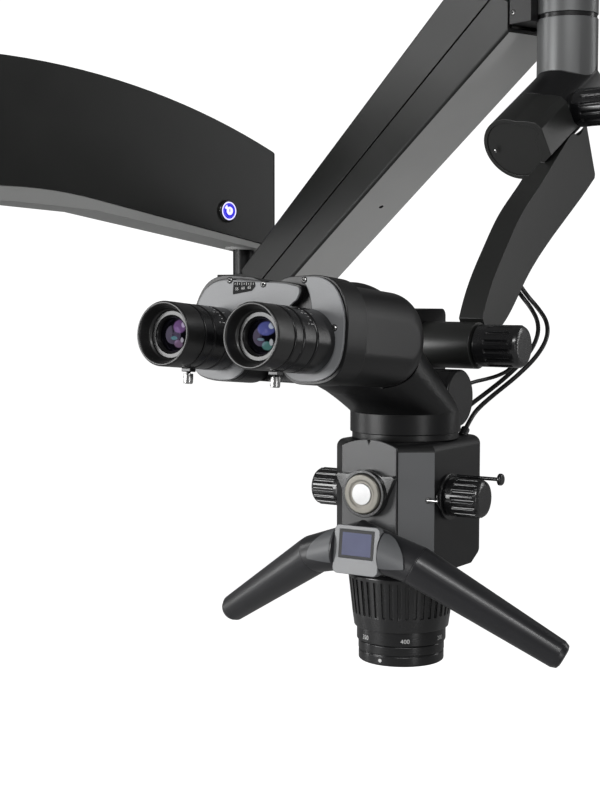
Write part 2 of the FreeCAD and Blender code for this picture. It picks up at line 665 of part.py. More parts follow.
upper_knob = fluted_knob(CLUTCH_RADIUS, CLUTCH_LENGTH, CLUTCH_FLUTES, 9, 7, CLUTCH_STUD_RADIUS)
nodes["upper_clutch_knob"] = at(upper_knob, clutch_seat.add(clutch_axis * FACE_GAP), clutch_axis)

# Bent arm: oblique hub, strap curved in its own plane, and the horizontal boss at the bottom
hub_start = OBLIQUE_SEAM + FACE_GAP
hub_end = OBLIQUE_FACE + RIM_HEIGHT
oblique_frame = Placement(oblique_centre, Rotation(clutch_axis, oblique.cross(clutch_axis), oblique, "XYZ"))


def hub_form(inset, wing, start, finish):
    """The round hub and its wing over the strap, between two heights along the oblique axis."""
    disc = rod(Vector(0, 0, start), UP, OBLIQUE_RADIUS - inset, finish - start)
    side = plate(wing, finish - start).translated(Vector(0, 0, start))
    return placed(disc.fuse(side).removeSplitter(), oblique_frame)


outer_wing = [(0, 27.5), (22, 25.5), (31, 23), (35, 17.5), (35, -8), (6, -28), (0, -20)]
cover_wing = [(0, 23), (22, 21), (28, 19), (31, 14), (17, -4), (5, -22), (0, -20)]
arm_hub = hub_form(0, outer_wing, hub_start, hub_end)
pocket = hub_form(COVER_INSET, cover_wing, hub_end - POCKET_DEPTH, hub_end + 20)
pocket_cover = hub_form(COVER_INSET, cover_wing, hub_end - POCKET_DEPTH, hub_end - POCKET_DEPTH + COVER_THICK)


def strap_points(pairs):
    return [Vector(STRAP_LEFT, y, z) for y, z in pairs]


front_edge = strap_points(((258, 421.5), (240, 413.5), (219, 399), (196, 382), (173, 364.5), (132.5, 335.7),
                           (107.6, 311), (85, 286), (66, 255)))
rear_edge = strap_points(((77, 240), (110.7, 255), (143.4, 284), (182, 312), (218.5, 334), (283, 373)))
front_curve = Part.BSplineCurve()
front_curve.interpolate(front_edge)
rear_curve = Part.BSplineCurve()
rear_curve.interpolate(rear_edge)
corner_middle = Vector(STRAP_LEFT, 285.5, 381)
corner_end = Vector(STRAP_LEFT, 266.5, 419)
crown_middle = Vector(STRAP_LEFT, 263.2, 421.8)
strap_wire = Part.Wire([front_curve.toShape(), Part.makeLine(front_edge[-1], rear_edge[0]), rear_curve.toShape(),
                        Part.Arc(rear_edge[-1], Vector(STRAP_LEFT, 286.6, 377), corner_middle).toShape(),
                        Part.makeLine(corner_middle, corner_end),
                        Part.Arc(corner_end, crown_middle, front_edge[0]).toShape()])
strap = Part.Face(strap_wire).extrude(Vector(STRAP_RIGHT - STRAP_LEFT, 0, 0))
boss = rod(Vector(BOSS_LEFT, TILT_Y, TILT_Z), RIGHT, BOSS_RADIUS, STRAP_RIGHT - BOSS_LEFT)
bent_arm = joined(arm_hub, strap, boss)
knuckle_room = rod(oblique_centre.sub(oblique * 60), oblique, OBLIQUE_RADIUS + 2, 60 + OBLIQUE_SEAM + FACE_GAP)
shaft_bore = rod(oblique_centre, oblique, OBLIQUE_SHAFT_RADIUS + PIN_GAP, OBLIQUE_SHAFT_END + 1)
tilt_bore = rod(Vector(BOSS_LEFT - 1, TILT_Y, TILT_Z), RIGHT, TILT_SHAFT_RADIUS + PIN_GAP, 80)
clutch_room = rod(clutch_centre, clutch_axis, CLUTCH_RADIUS + 0.4, clutch_reach + 20)
clutch_room.rotate(oblique_centre, oblique, -ROLL_IN)
nodes["bent_arm"] = bent_arm.cut([knuckle_room, clutch_room, shaft_bore, tilt_bore, pocket])
nodes["arm_pocket_cover"] = pocket_cover

# Tilt shaft, carrier and clutch knob of the lower joint
shaft_left = CHEEK_LEFT + 6
shaft = rod(Vector(shaft_left, TILT_Y, TILT_Z), RIGHT, TILT_SHAFT_RADIUS, STRAP_RIGHT + 20 - shaft_left)
nodes["tilt_shaft"] = shaft
lower_knob = fluted_knob(CLUTCH_RADIUS, CLUTCH_LENGTH + 1, CLUTCH_FLUTES, 10, 7, TILT_SHAFT_RADIUS)
knob_seat = Vector(STRAP_RIGHT + 1.5, TILT_Y, TILT_Z)
washer = tube(Vector(STRAP_RIGHT + FACE_GAP / 2, TILT_Y, TILT_Z), RIGHT, CLUTCH_RADIUS - 2,
              TILT_SHAFT_RADIUS + 0.5, 1.5 - FACE_GAP / 2)
nodes["lower_clutch_knob"] = joined(at(lower_knob, knob_seat, RIGHT), washer)
cheek_right = BOSS_LEFT - FACE_GAP
cheek = block(Vector(CHEEK_LEFT, CHEEK_FRONT_Y, CARRIER_Z), Vector(cheek_right, CHEEK_BACK_Y, CHEEK_TOP_Z))
cheek = cheek.makeFillet(6, [edge for edge in cheek.Edges if edge.BoundBox.XLength > 20
                             and edge.BoundBox.YMin > CHEEK_BACK_Y - 1])
carrier_hub = rod(Vector(CHEEK_LEFT, CARRIER_Y, CARRIER_Z), RIGHT, CARRIER_RADIUS, CARRIER_CAP_X - 4 - CHEEK_LEFT)
upright = block(Vector(CHEEK_LEFT, NECK_Y + NECK_RADIUS + 0.5, BODY_TOP_Z), Vector(UPRIGHT_RIGHT, BODY_REAR, CARRIER_Z))
ring_plate = rod(Vector(0, NECK_Y, BODY_TOP_Z), UP, NECK_RADIUS - 1.5, NECK_RING_TOP_Z - BODY_TOP_Z)
back_plate = block(Vector(-30, NECK_Y + 20, BODY_TOP_Z), Vector(UPRIGHT_RIGHT, BODY_REAR, NECK_RING_TOP_Z))
carrier = joined(cheek, carrier_hub, upright, ring_plate, back_plate)
light_path = rod(Vector(0, NECK_Y, BODY_TOP_Z - 1), UP, 24, 20)
nodes["carrier"] = carrier.cut([light_path, shaft])
cap_profile = turned([(0, 0), (CARRIER_RADIUS - 0.4, 0), (CARRIER_RADIUS, 0.4), (CARRIER_RADIUS, 3.2),
                      (CARRIER_RADIUS - 0.8, 4), (0, 4)])
nodes["carrier_cap"] = at(cap_profile, Vector(CARRIER_CAP_X - 4, CARRIER_Y, CARRIER_Z), RIGHT)


# Microscope body: faceted housing with a raised rear lower edge and soft shoulders
def body_outline(inset):
    half = BODY_HALF - inset
    front = BODY_FRONT + inset
    rear = BODY_REAR - inset
    share = inset * 0.45
    return [(PANEL_HALF - share, front), (half, CHAMFER_BACK + share), (half, rear), (-half, rear),
            (-half, CHAMFER_BACK + share), (-PANEL_HALF + share, front)]


body = plate(body_outline(0), BODY_TOP_Z - BODY_LOW_Z).translated(Vector(0, 0, BODY_LOW_Z))
rear_edges = [edge for edge in body.Edges if edge.BoundBox.ZLength > 50 and edge.BoundBox.YMin > BODY_REAR - 1]
body = body.makeFillet(REAR_CORNER, rear_edges)
shoulders = [edge for edge in body.Edges if edge.BoundBox.ZMin > BODY_TOP_Z - 0.1
             and edge.BoundBox.YMax > BODY_FRONT + 1]
body = body.makeFillet(6.5, shoulders)
rear_wedge = [Vector(-60, 20, BODY_LOW_Z - 1), Vector(-60, 80, BODY_LOW_Z - 1),
              Vector(-60, 80, BODY_LOW_Z + REAR_RISE + 12), Vector(-60, 34, BODY_LOW_Z)]
wedge = Part.Face(Part.makePolygon(rear_wedge + rear_wedge[:1])).extrude(Vector(120, 0, 0))
body = body.cut(wedge)
inside = plate(body_outline(BODY_WALL), BODY_TOP_Z - BODY_LOW_Z - 2 * BODY_WALL - REAR_RISE)
inside = inside.makeFillet(REAR_CORNER - BODY_WALL, [edge for edge in inside.Edges
                                                     if edge.BoundBox.ZLength > 50
                                                     and edge.BoundBox.YMin > BODY_REAR - BODY_WALL - 1])
inside.translate(Vector(0, 0, BODY_LOW_Z + BODY_WALL + REAR_RISE))
body_cuts = [inside, rod(Vector(0, 0, BODY_LOW_Z - 1), UP, BARREL_RADIUS, 40),
             rod(Vector(0, NECK_Y, BODY_TOP_Z - 20), UP, 24, 30),
             rod(Vector(-60, KNOB_Y, KNOB_Z), RIGHT, KNOB_SHAFT_RADIUS + PIN_GAP, 120),
             rod(Vector(0, PULL_ROD_Y, PULL_ROD_Z), RIGHT, PULL_ROD_RADIUS + PIN_GAP, 60)]
nodes["body_shell"] = body.cut(body_cuts)

# Front panel: arched top with a notch, set proud of the body's front
panel_top_edge = PANEL_EDGE_Z
panel_top_middle = PANEL_MIDDLE_Z
panel_half = PANEL_HALF - PANEL_INSET
arch = Part.Arc(Vector(-panel_half, 0, panel_top_edge), Vector(0, 0, panel_top_middle),
                Vector(panel_half, 0, panel_top_edge)).toShape()
panel_low = BODY_LOW_Z + 6
panel_wire = Part.Wire([arch, Part.makeLine(Vector(panel_half, 0, panel_top_edge), Vector(panel_half, 0, panel_low)),
                        Part.makeLine(Vector(panel_half, 0, panel_low), Vector(-panel_half, 0, panel_low)),
                        Part.makeLine(Vector(-panel_half, 0, panel_low), Vector(-panel_half, 0, panel_top_edge))])
panel = Part.Face(panel_wire).extrude(Vector(0, PANEL_THICK, 0))
panel.translate(Vector(0, BODY_FRONT - PANEL_THICK, 0))
notch = [Vector(-1.8, BODY_FRONT - 5, panel_top_middle + 1), Vector(1.8, BODY_FRONT - 5, panel_top_middle + 1),
         Vector(0, BODY_FRONT - 5, panel_top_middle - 3.6)]
panel = panel.cut(Part.Face(Part.makePolygon(notch + notch[:1])).extrude(Vector(0, 10, 0)))
filter_stud = rod(Vector(0, BODY_FRONT - PANEL_THICK, FILTER_Z), Vector(0, -1, 0), 8, FILTER_HEIGHT - 3)
nodes["front_panel"] = joined(panel, filter_stud)

# Filter ring with two wings, turning round the stud, and the fixed cap in front of it
filter_frame = Placement(Vector(0, BODY_FRONT - PANEL_THICK - FACE_GAP, FILTER_Z), Rotation(RIGHT, 90))
ring = rod(Vector(0, 0, 0), UP, FILTER_RADIUS, FILTER_HEIGHT - 2)
wings = []
for side in (-1, 1):
    root = [Vector(side * 6, FILTER_RADIUS * 0.95, 0), Vector(side * 14, 13.5, 0),
            Vector(side * (WING_REACH - 2), 13.8, 0), Vector(side * WING_REACH, 12, 0),
            Vector(side * (WING_REACH - 1), 10.4, 0), Vector(side * 20.5, 4, 0), Vector(side * 17, -3, 0),
            Vector(0, 0, 0)]
    wings.append(Part.Face(Part.makePolygon(root + root[:1])).extrude(Vector(0, 0, FILTER_HEIGHT - 4.5)))
ring = joined(ring, *wings)
ring = ring.cut([rod(Vector(0, 0, -1), UP, 8 + TURN_GAP, 20),
                 rod(Vector(0, 0, FILTER_HEIGHT - 5), UP, CAP_RADIUS + TURN_GAP, 10)])
ring.Placement = filter_frame
nodes["filter_ring"] = ring
cap_low = FILTER_HEIGHT - 3 - FACE_GAP
front_cap = turned([(0, cap_low), (CAP_RADIUS, cap_low), (CAP_RADIUS, FILTER_HEIGHT - 0.8),
                    (CAP_RADIUS - 0.8, FILTER_HEIGHT), (10.2, FILTER_HEIGHT), (9.8, FILTER_HEIGHT - 0.5),
                    (0, FILTER_HEIGHT - 0.5)])
front_cap.Placement = filter_frame
nodes["front_cap"] = front_cap

# Magnification changer: drum and through shaft, a knob on each side, and the fixed knob flanges
shaft_half = BODY_HALF + FLANGE_THICK + KNOB_LENGTH * 0.7
turret_start = Vector(-TURRET_HALF, KNOB_Y, KNOB_Z)
drum = rod(turret_start, RIGHT, TURRET_RADIUS, 2 * TURRET_HALF)
drum_shaft = rod(Vector(-shaft_half, KNOB_Y, KNOB_Z), RIGHT, KNOB_SHAFT_RADIUS, 2 * shaft_half)
drum = joined(drum, drum_shaft)
windows = []
for angle in (0, 60, 120):
    for x in (-12, 12):
        window = rod(Vector(x, KNOB_Y, KNOB_Z - 40), UP, 9.5, 80)
        window.rotate(Vector(x, KNOB_Y, KNOB_Z), RIGHT, angle)
        windows.append(window)
drum_core = rod(Vector(-shaft_half, KNOB_Y, KNOB_Z), RIGHT, KNOB_SHAFT_RADIUS, 2 * shaft_half)
nodes["magnification_drum"] = joined(drum.cut(windows), drum_core)
flanges = []
for side, name in ((1, "right"), (-1, "left")):
    outward = RIGHT * side
    wall = Vector(side * BODY_HALF, KNOB_Y, KNOB_Z)
    teardrop = rod(wall, outward, FLANGE_RADIUS, FLANGE_THICK)
    tail_points = [Vector(side * BODY_HALF, KNOB_Y - 6, KNOB_Z - 15.5), Vector(side * BODY_HALF, KNOB_Y - 6, KNOB_Z + 15),
                   Vector(side * BODY_HALF, CHAMFER_BACK + 1.2, KNOB_Z + 3), Vector(side * BODY_HALF, CHAMFER_BACK + 1.2, KNOB_Z - 3)]
    tail = Part.Face(Part.makePolygon(tail_points + tail_points[:1])).extrude(outward * (FLANGE_THICK * 0.8))
    flange = joined(teardrop, tail).cut(rod(wall, outward, KNOB_SHAFT_RADIUS + PIN_GAP, 10))
    flanges.append(flange)
    knob = fluted_knob(KNOB_RADIUS, KNOB_LENGTH, KNOB_FLUTES, 6, 2.5, KNOB_SHAFT_RADIUS - PIN_GAP)
    knob_base = wall.add(outward * (FLANGE_THICK + FACE_GAP))
    nodes["magnification_knob_" + name] = at(knob, knob_base, outward).cut(drum_core)
nodes["knob_flanges"] = Part.makeCompound(flanges)

# Pull rod of the filter slider, above the right knob
head_at = PULL_ROD_LENGTH - 4
pull = turned([(0, 0), (PULL_ROD_RADIUS, 0), (PULL_ROD_RADIUS, head_at), (4.4, head_at + 1.2),
               (4.4, PULL_ROD_LENGTH - 0.8), (3.6, PULL_ROD_LENGTH), (0, PULL_ROD_LENGTH)])
nodes["filter_pull_rod"] = at(pull, Vector(PULL_ROD_REACH - PULL_ROD_LENGTH, PULL_ROD_Y, PULL_ROD_Z), RIGHT)

# Binocular base: round foot on the neck ring, leaning forward to a crowned ball at the tube's axis
lean = Vector(0, TUBE_Y - NECK_Y, TUBE_Z - NECK_TOP_Z).normalize()
ball_centre = Vector(0, TUBE_Y, TUBE_Z)
throat_centre = ball_centre.sub(lean * BALL_BACK)
throat_radius = math.sqrt(BALL_RADIUS ** 2 - BALL_BACK ** 2) - 0.3
foot = rod(Vector(0, NECK_Y, NECK_RING_TOP_Z), UP, NECK_RADIUS, NECK_TOP_Z - NECK_RING_TOP_Z)
foot_wire = Part.Wire(Part.makeCircle(NECK_RADIUS, Vector(0, NECK_Y, NECK_TOP_Z), UP))
throat_wire = Part.Wire(Part.makeCircle(throat_radius, throat_centre, lean))
leaning_neck = Part.makeLoft([foot_wire, throat_wire], True, True)
ball = Part.makeSphere(BALL_RADIUS, ball_centre)
ball = ball.common(block(Vector(-BALL_HALF, TUBE_Y - 60, TUBE_Z - 60), Vector(BALL_HALF, TUBE_Y + 60, TUBE_Z + 60)))
base_body = joined(foot, leaning_neck, ball)
dome_rooms = [rod(Vector(side * (BALL_HALF + FACE_GAP / 2), TUBE_Y, TUBE_Z), RIGHT * side, DOME_RADIUS + 1.2, 60)
              for side in (1, -1)]
hub_room = rod(Vector(-60, CARRIER_Y, CARRIER_Z), RIGHT, CARRIER_RADIUS + 2 * TURN_GAP, 120)
rear_room = block(Vector(-60, CARRIER_Y - CARRIER_RADIUS - 2 * TURN_GAP, CARRIER_Z), Vector(60, 90, 300))
pin_room = rod(Vector(-60, TUBE_Y, TUBE_Z), RIGHT, TUBE_PIN_RADIUS + PIN_GAP, 120)
nodes["binocular_base"] = base_body.cut(dome_rooms + [hub_room, rear_room, pin_room])

# Binocular drum: a rounded housing across the tube's axis, slotted for the base, reaching the prism boxes
eye_turn = Rotation(RIGHT, 90 - EYE_TILT)
eye_frame = Placement(Vector(0, EYE_Y, EYE_Z), eye_turn)
tube_axis = eye_frame.inverse().multVec(ball_centre)
drum_front = -BOX_DEPTH - FACE_GAP
drum_top = tube_axis.y + DOME_RADIUS
drum_low = tube_axis.y - DOME_RADIUS
drum_wire = Part.Wire([
    Part.makeLine(Vector(-DOME_END, drum_top, drum_front), Vector(-DOME_END, drum_top, tube_axis.z)),
    Part.Arc(Vector(-DOME_END, drum_top, tube_axis.z), Vector(-DOME_END, tube_axis.y, tube_axis.z - DOME_RADIUS),
             Vector(-DOME_END, drum_low, tube_axis.z)).toShape(),
    Part.makeLine(Vector(-DOME_END, drum_low, tube_axis.z), Vector(-DOME_END, drum_low, drum_front)),
    Part.makeLine(Vector(-DOME_END, drum_low, drum_front), Vector(-DOME_END, drum_top, drum_front))])
drum_body = Part.Face(drum_wire).extrude(Vector(2 * DOME_END, 0, 0))
rim = [edge for edge in drum_body.Edges if edge.BoundBox.XLength < 0.1
       and edge.BoundBox.ZMin < drum_front - 1]
drum_body = drum_body.makeFillet(DOME_ROUND, rim)
base_slot = rod(Vector(-BALL_HALF - FACE_GAP, tube_axis.y, tube_axis.z), RIGHT, BALL_RADIUS + 1.5,
                2 * (BALL_HALF + FACE_GAP))
tube_pin = rod(Vector(-DOME_END + 12, tube_axis.y, tube_axis.z), RIGHT, TUBE_PIN_RADIUS, 2 * (DOME_END - 12))
hinge_pin = rod(Vector(0, HINGE_UP, -BOX_DEPTH - 2), UP, HINGE_PIN_RADIUS, BOX_DEPTH + LEAF_STEP)
drum_body = joined(drum_body.cut(base_slot), tube_pin, hinge_pin)
nodes["binocular_drum"] = placed(drum_body, eye_frame)

# Prism boxes: each turns about the hinge pin to set the eye distance; the left leaf laps the right
right_outline = [(3, 35), (10, 40), (24, 42), (38, 42.3), (49, 38.5), (56, 30), (60, 19), (60.8, 6), (60, -7),
                 (57, -16.5), (51, -23), (42, -26.5), (32, -27.5), (22, -26.5), (15.5, -22.5), (11.5, -16),
                 (8, -6), (3, 6)]
left_outline = [(-x, y) for x, y in right_outline]
leaf_top = [(-3, 6), (-8, -6), (-11.5, -16), (-15.5, -22.5), (-22, -26.5), (-32, -27.5), (-42, -26.5), (-51, -23),
            (-57, -14), (-58.5, 0), (-56, 14), (-51.5, 27), (-46, 34.5), (-38, 38.8), (-28.7, 40), (-15.6, 39.3),
            (2.4, 38.3), (17.5, 37.4), (24.5, 36)]
leaf_tip = [(24.5, 36), (27.5, 34.3), (27.8, 31.5), (26.7, 28.5), (21, 20), (14, 12), (-3, 6)]
plate_right_outline = [(6, 32), (13, 38), (26, 40.8), (38, 41), (47.5, 37.2), (54.3, 29), (58, 18.5), (58.8, 6),
                       (58, -6), (55, -15), (49.5, -21), (41.5, -24.6), (32, -25.6), (23, -24.5), (17, -20.5),
                       (12, 0)]


def smooth_plate(outlines, thickness):
    """A plate whose edge runs smoothly through each outline's points, one after another, and closes straight."""
    edges = []
    for outline in outlines:
        curve = Part.BSplineCurve()
        curve.interpolate([Vector(x, y, 0) for x, y in outline])
        edges.append(curve.toShape())
    first, last = outlines[0][0], outlines[-1][-1]
    if first != last:
        edges.append(Part.makeLine(Vector(last[0], last[1], 0), Vector(first[0], first[1], 0)))
    return Part.Face(Part.Wire(edges)).extrude(Vector(0, 0, thickness))


def in_eye_frame(shape):
    return placed(shape, eye_frame)


pin_hole = rod(Vector(0, HINGE_UP, -60), UP, HINGE_PIN_RADIUS + PIN_GAP, 120)
swung_eyepiece = rod(Vector(EYE_HALF, 0, 0.05), UP, EYE_RADIUS + 1, 30)
swung_eyepiece.rotate(Vector(0, HINGE_UP, 0), UP, SWING_IN)
for side, name in ((1, "right"), (-1, "left")):
    outline = right_outline if side > 0 else left_outline
    box = smooth_plate([outline], BOX_DEPTH).translated(Vector(0, 0, -BOX_DEPTH))
    ear = plate([(side * 14, 8), (side * 2, 8), (-side * 5, 14), (-side * 5, 22), (side * 2, 27), (side * 14, 27)], 6)
    ear.translate(Vector(0, 0, -BOX_DEPTH if side > 0 else -BOX_DEPTH + 6.3))
    other_ear_room = rod(Vector(0, HINGE_UP, -BOX_DEPTH - 1 if side < 0 else -BOX_DEPTH + 6.15), UP, 13,
                         7.15 if side < 0 else 6.3)
    box = joined(box.cut(other_ear_room), ear)
    eye = Vector(side * EYE_HALF, 0, 0)
    barrel_room = rod(eye.add(Vector(0, 0, -BOX_DEPTH + 4)), UP, SPIGOT_RADIUS, BOX_DEPTH + 20)
    if side < 0:
        leaf = smooth_plate([leaf_top, leaf_tip], LEAF_STEP - FACE_GAP).translated(Vector(0, 0, FACE_GAP))
        leaf_foot = plate([(-52, -8), (-49, 24), (-30, 35), (-9, 34), (-12, -8), (-24, -22), (-44, -18)], 1.2)
        collar_room = rod(eye.add(Vector(0, 0, 0.05)), UP, SLEEVE_RADIUS + 1.6, BOX_DEPTH)
        box = box.fuse(leaf_foot.translated(Vector(0, 0, -0.6))).fuse(leaf)
        box = box.cut([collar_room, swung_eyepiece])
    box = box.cut([pin_hole, barrel_room])
    nodes["prism_box_" + name] = in_eye_frame(box)

plate_right = smooth_plate([plate_right_outline], PLATE_THICK)
swing_room = rod(Vector(0, HINGE_UP, -1), UP, 34.5, 5)
plate_right = plate_right.cut(swing_room)
eye_right = rod(Vector(EYE_HALF, 0, -1), UP, SLEEVE_RADIUS + 2, 5)
nodes["prism_plate_right"] = in_eye_frame(plate_right.cut(eye_right))
plate_left = smooth_plate([[(x * 0.985, y * 0.97) for x, y in outline] for outline in (leaf_top, leaf_tip)],
                          PLATE_THICK)
plate_left.translate(Vector(0, 0, LEAF_STEP))
eye_left = rod(Vector(-EYE_HALF, 0, 0), UP, SLEEVE_RADIUS + 2, 10)
plate_left = plate_left.cut([eye_left, pin_hole, swung_eyepiece])
nodes["prism_plate_left"] = in_eye_frame(plate_left)

# Eyepieces: sleeve, dioptre ring, eyecup and eye lens on each prism box
for side, name in ((1, "right"), (-1, "left")):
    seat = 0 if side > 0 else LEAF_STEP
    sleeve = turned([(SPIGOT_RADIUS, -BOX_DEPTH + 8), (EYE_GLASS_RADIUS, -BOX_DEPTH + 8),
                     (EYE_GLASS_RADIUS, SLEEVE_TOP), (SLEEVE_RADIUS, SLEEVE_TOP),
                     (SLEEVE_RADIUS, RING_START - 1), (EYE_RADIUS - 0.6, RING_START - 1),
                     (EYE_RADIUS + 0.2, RING_START - 2), (EYE_RADIUS + 0.2, seat + 4),
                     (EYE_RADIUS - 1, seat + 3), (SLEEVE_RADIUS + 1.6, seat + 3), (SLEEVE_RADIUS + 1.6, 0.05),
                     (SPIGOT_RADIUS, 0.05)])
    screw_direction = Vector(0, -1, 0)
    screw = rod(Vector(0, -EYE_RADIUS + 1, LOCK_SCREW_AT), screw_direction, 1.3, LOCK_SCREW_REACH - EYE_RADIUS - 2)
    screw_head = rod(Vector(0, -LOCK_SCREW_REACH + 6, LOCK_SCREW_AT), screw_direction, 2.9, 6)
    screw_block = block(Vector(-3.5, -EYE_RADIUS - 2.2, LOCK_SCREW_AT - 3), Vector(3.5, -EYE_RADIUS + 3, LOCK_SCREW_AT + 3))
    ring_inner = SLEEVE_RADIUS + PIN_GAP
    dioptre = turned([(ring_inner, RING_START), (EYE_RADIUS - 0.6, RING_START), (EYE_RADIUS + 0.1, RING_START + 0.7),
                      (EYE_RADIUS + 0.1, RING_START + 13), (EYE_RADIUS - 0.7, RING_START + 13.7),
                      (EYE_RADIUS - 0.7, RING_START + 14.6), (EYE_RADIUS, RING_START + 15.2),
                      (EYE_RADIUS, CUP_START - 1.4), (EYE_RADIUS - 0.8, CUP_START - 0.8), (ring_inner, CUP_START - 0.8)])
    dioptre = joined(dioptre, screw_block, screw, screw_head)
    cup = turned([(ring_inner, CUP_START), (EYE_RADIUS - 0.8, CUP_START), (EYE_RADIUS, CUP_START + 0.8),
                  (EYE_RADIUS, EYE_LENGTH - 1.2), (EYE_RADIUS - 0.6, EYE_LENGTH), (EYE_RADIUS - 1.8, EYE_LENGTH),
                  (EYE_RADIUS - 2.6, EYE_LENGTH - 1.5), (SLEEVE_RADIUS + 1.4, SLEEVE_TOP + 1.2), (ring_inner, SLEEVE_TOP)])
    lens_radius = EYE_GLASS_RADIUS - 0.05
    lens = turned([(0, SLEEVE_TOP - 9), (lens_radius, SLEEVE_TOP - 9), (lens_radius, SLEEVE_TOP - 4),
                   (lens_radius * 0.8, SLEEVE_TOP - 3.2), (lens_radius * 0.5, SLEEVE_TOP - 2.35),
                   (0, SLEEVE_TOP - 1.8)])
    for piece, label in ((sleeve, "eyepiece_sleeve_"), (dioptre, "dioptre_ring_"), (cup, "eyecup_"), (lens, "eye_lens_")):
        piece = piece.translated(Vector(side * EYE_HALF, 0, 0))
        nodes[label + name] = in_eye_frame(piece)

# Objective: fixed barrel and index ring, turning focus ring with the distance scale, sliding lens cell
barrel_inner = BARREL_RADIUS - BARREL_WALL
barrel = turned([(barrel_inner, 2), (BARREL_RADIUS, 2), (BARREL_RADIUS, BODY_LOW_Z + 12), (barrel_inner, BODY_LOW_Z + 12)])
cam_slot = block(Vector(BARREL_RADIUS - 4, -1.6, CELL_LOW_Z + 4), Vector(BARREL_RADIUS + 2, 1.6, CELL_LOW_Z + 22))
nodes["objective_barrel"] = barrel.cut(cam_slot)
index_ring = turned([(barrel_inner - 1.5, 0), (RING_RADIUS - 0.8, 0), (RING_RADIUS, 0.8), (RING_RADIUS, 7),
                     (RING_RADIUS - 0.7, 7.3), (RING_RADIUS - 0.7, 7.9), (RING_RADIUS + 0.2, 8.2),
                     (RING_RADIUS + 0.2, RING_TOP - 0.5), (RING_RADIUS - 0.4, RING_TOP), (BARREL_RADIUS, RING_TOP),
                     (BARREL_RADIUS, 2), (barrel_inner - 1.5, 2)])
nodes["index_ring"] = index_ring
front_glass = turned([(0, 2.2), (barrel_inner, 2.2), (barrel_inner, 8), (0, 9.5)])
nodes["objective_glass"] = front_glass
ring_bore = BARREL_RADIUS + TURN_GAP
dial_low = RING_TOP + FACE_GAP
distance_ring = turned([(ring_bore, dial_low), (DIAL_RADIUS - 0.5, dial_low), (DIAL_RADIUS, dial_low + 0.5),
                        (DIAL_RADIUS, DIAL_TOP), (ring_bore, DIAL_TOP)])
nodes["distance_ring"] = distance_ring
grip_end = RIB_TOP_Z - 1.2
grip = turned([(ring_bore, DIAL_TOP), (RIB_LOW_RADIUS - 1.3, DIAL_TOP), (RIB_LOW_RADIUS, RIB_LOW_Z),
               (RIB_TOP_RADIUS, RIB_TOP_Z - 4), (RIB_TOP_RADIUS - 1.4, grip_end), (ring_bore, grip_end)])
slope = (RIB_TOP_RADIUS - RIB_LOW_RADIUS) / (RIB_TOP_Z - 4 - RIB_LOW_Z)
slots = []
for index in range(RIB_COUNT):
    slot = block(Vector(-1.3, -RIB_SLOT / 2, 0), Vector(2, RIB_SLOT / 2, RIB_TOP_Z - RIB_LOW_Z - 8))
    slot.rotate(Vector(0, 0, 0), BACK, math.degrees(math.atan(slope)))
    slot.translate(Vector(RIB_LOW_RADIUS, 0, RIB_LOW_Z + 1.5))
    slot.rotate(Vector(0, 0, 0), UP, 360 * index / RIB_COUNT)
    slots.append(slot)
nodes["focus_ring"] = grip.cut(slots)
cell = turned([(CELL_RADIUS - 3, CELL_LOW_Z), (CELL_RADIUS, CELL_LOW_Z), (CELL_RADIUS, CELL_LOW_Z + CELL_HEIGHT),
               (CELL_RADIUS - 3, CELL_LOW_Z + CELL_HEIGHT)])
cell_glass = turned([(0, CELL_LOW_Z + 4), (CELL_RADIUS - 3, CELL_LOW_Z + 5), (CELL_RADIUS - 3, CELL_LOW_Z + 11),
                     (0, CELL_LOW_Z + 12)])
nodes["focus_lens_cell"] = joined(cell, cell_glass)

# Handles: tapered grips on a hub that wraps the lower front of the body, with the display pod
handle_dir = {}
for side in (1, -1):
    handle_dir[side] = Vector(side, HANDLE_BACK, -HANDLE_DROP).normalize()


def handle_point(side, x):
    return Vector(side * x, HANDLE_LINE_Y + HANDLE_BACK * x, HANDLE_LINE_Z - HANDLE_DROP * x)


hub_rings = []
hub_rings.append(Part.Wire(Part.makeCircle(HANDLE_START_RADIUS, handle_point(-1, HANDLE_START), handle_dir[-1] * -1)))
ellipse = Part.Ellipse(Vector(0, HUB_Y, HUB_Z + HUB_HALF_HEIGHT), Vector(0, HUB_Y - HUB_DEPTH, HUB_Z), Vector(0, HUB_Y, HUB_Z))
hub_rings.append(Part.Wire(ellipse.toShape()))
hub_rings.append(Part.Wire(Part.makeCircle(HANDLE_START_RADIUS, handle_point(1, HANDLE_START), handle_dir[1])))
hub_left = Part.makeLoft([hub_rings[0], hub_rings[1]], True, True)
hub_right = Part.makeLoft([hub_rings[1], hub_rings[2]], True, True)
hub = joined(hub_left, hub_right)
body_solid = plate(body_outline(0), BODY_TOP_Z - BODY_LOW_Z + 60).translated(Vector(0, 0, BODY_LOW_Z - 30))
panel_room = block(Vector(-PANEL_HALF, BODY_FRONT - PANEL_THICK, 60), Vector(PANEL_HALF, BODY_FRONT + 2, 140))
ring_room = turned([(0, 0), (RIB_TOP_RADIUS + 0.8, 0), (RIB_TOP_RADIUS + 0.8, RIB_TOP_Z + 0.5), (0, RIB_TOP_Z + 0.5)])
hub = hub.cut([body_solid, panel_room, ring_room])
pod_frame = Placement(Vector(0, POD_Y, POD_LOW_Z), Rotation(RIGHT, 90 - POD_TILT))
pod = block(Vector(-POD_HALF, 0, -POD_THICK), Vector(POD_HALF, POD_HEIGHT, 0))
pod = pod.makeFillet(4, [edge for edge in pod.Edges if edge.BoundBox.ZLength > 3])
screen_room = block(Vector(-SCREEN_HALF, SCREEN_UP, -1.6), Vector(SCREEN_HALF, SCREEN_UP + SCREEN_HEIGHT, 1))
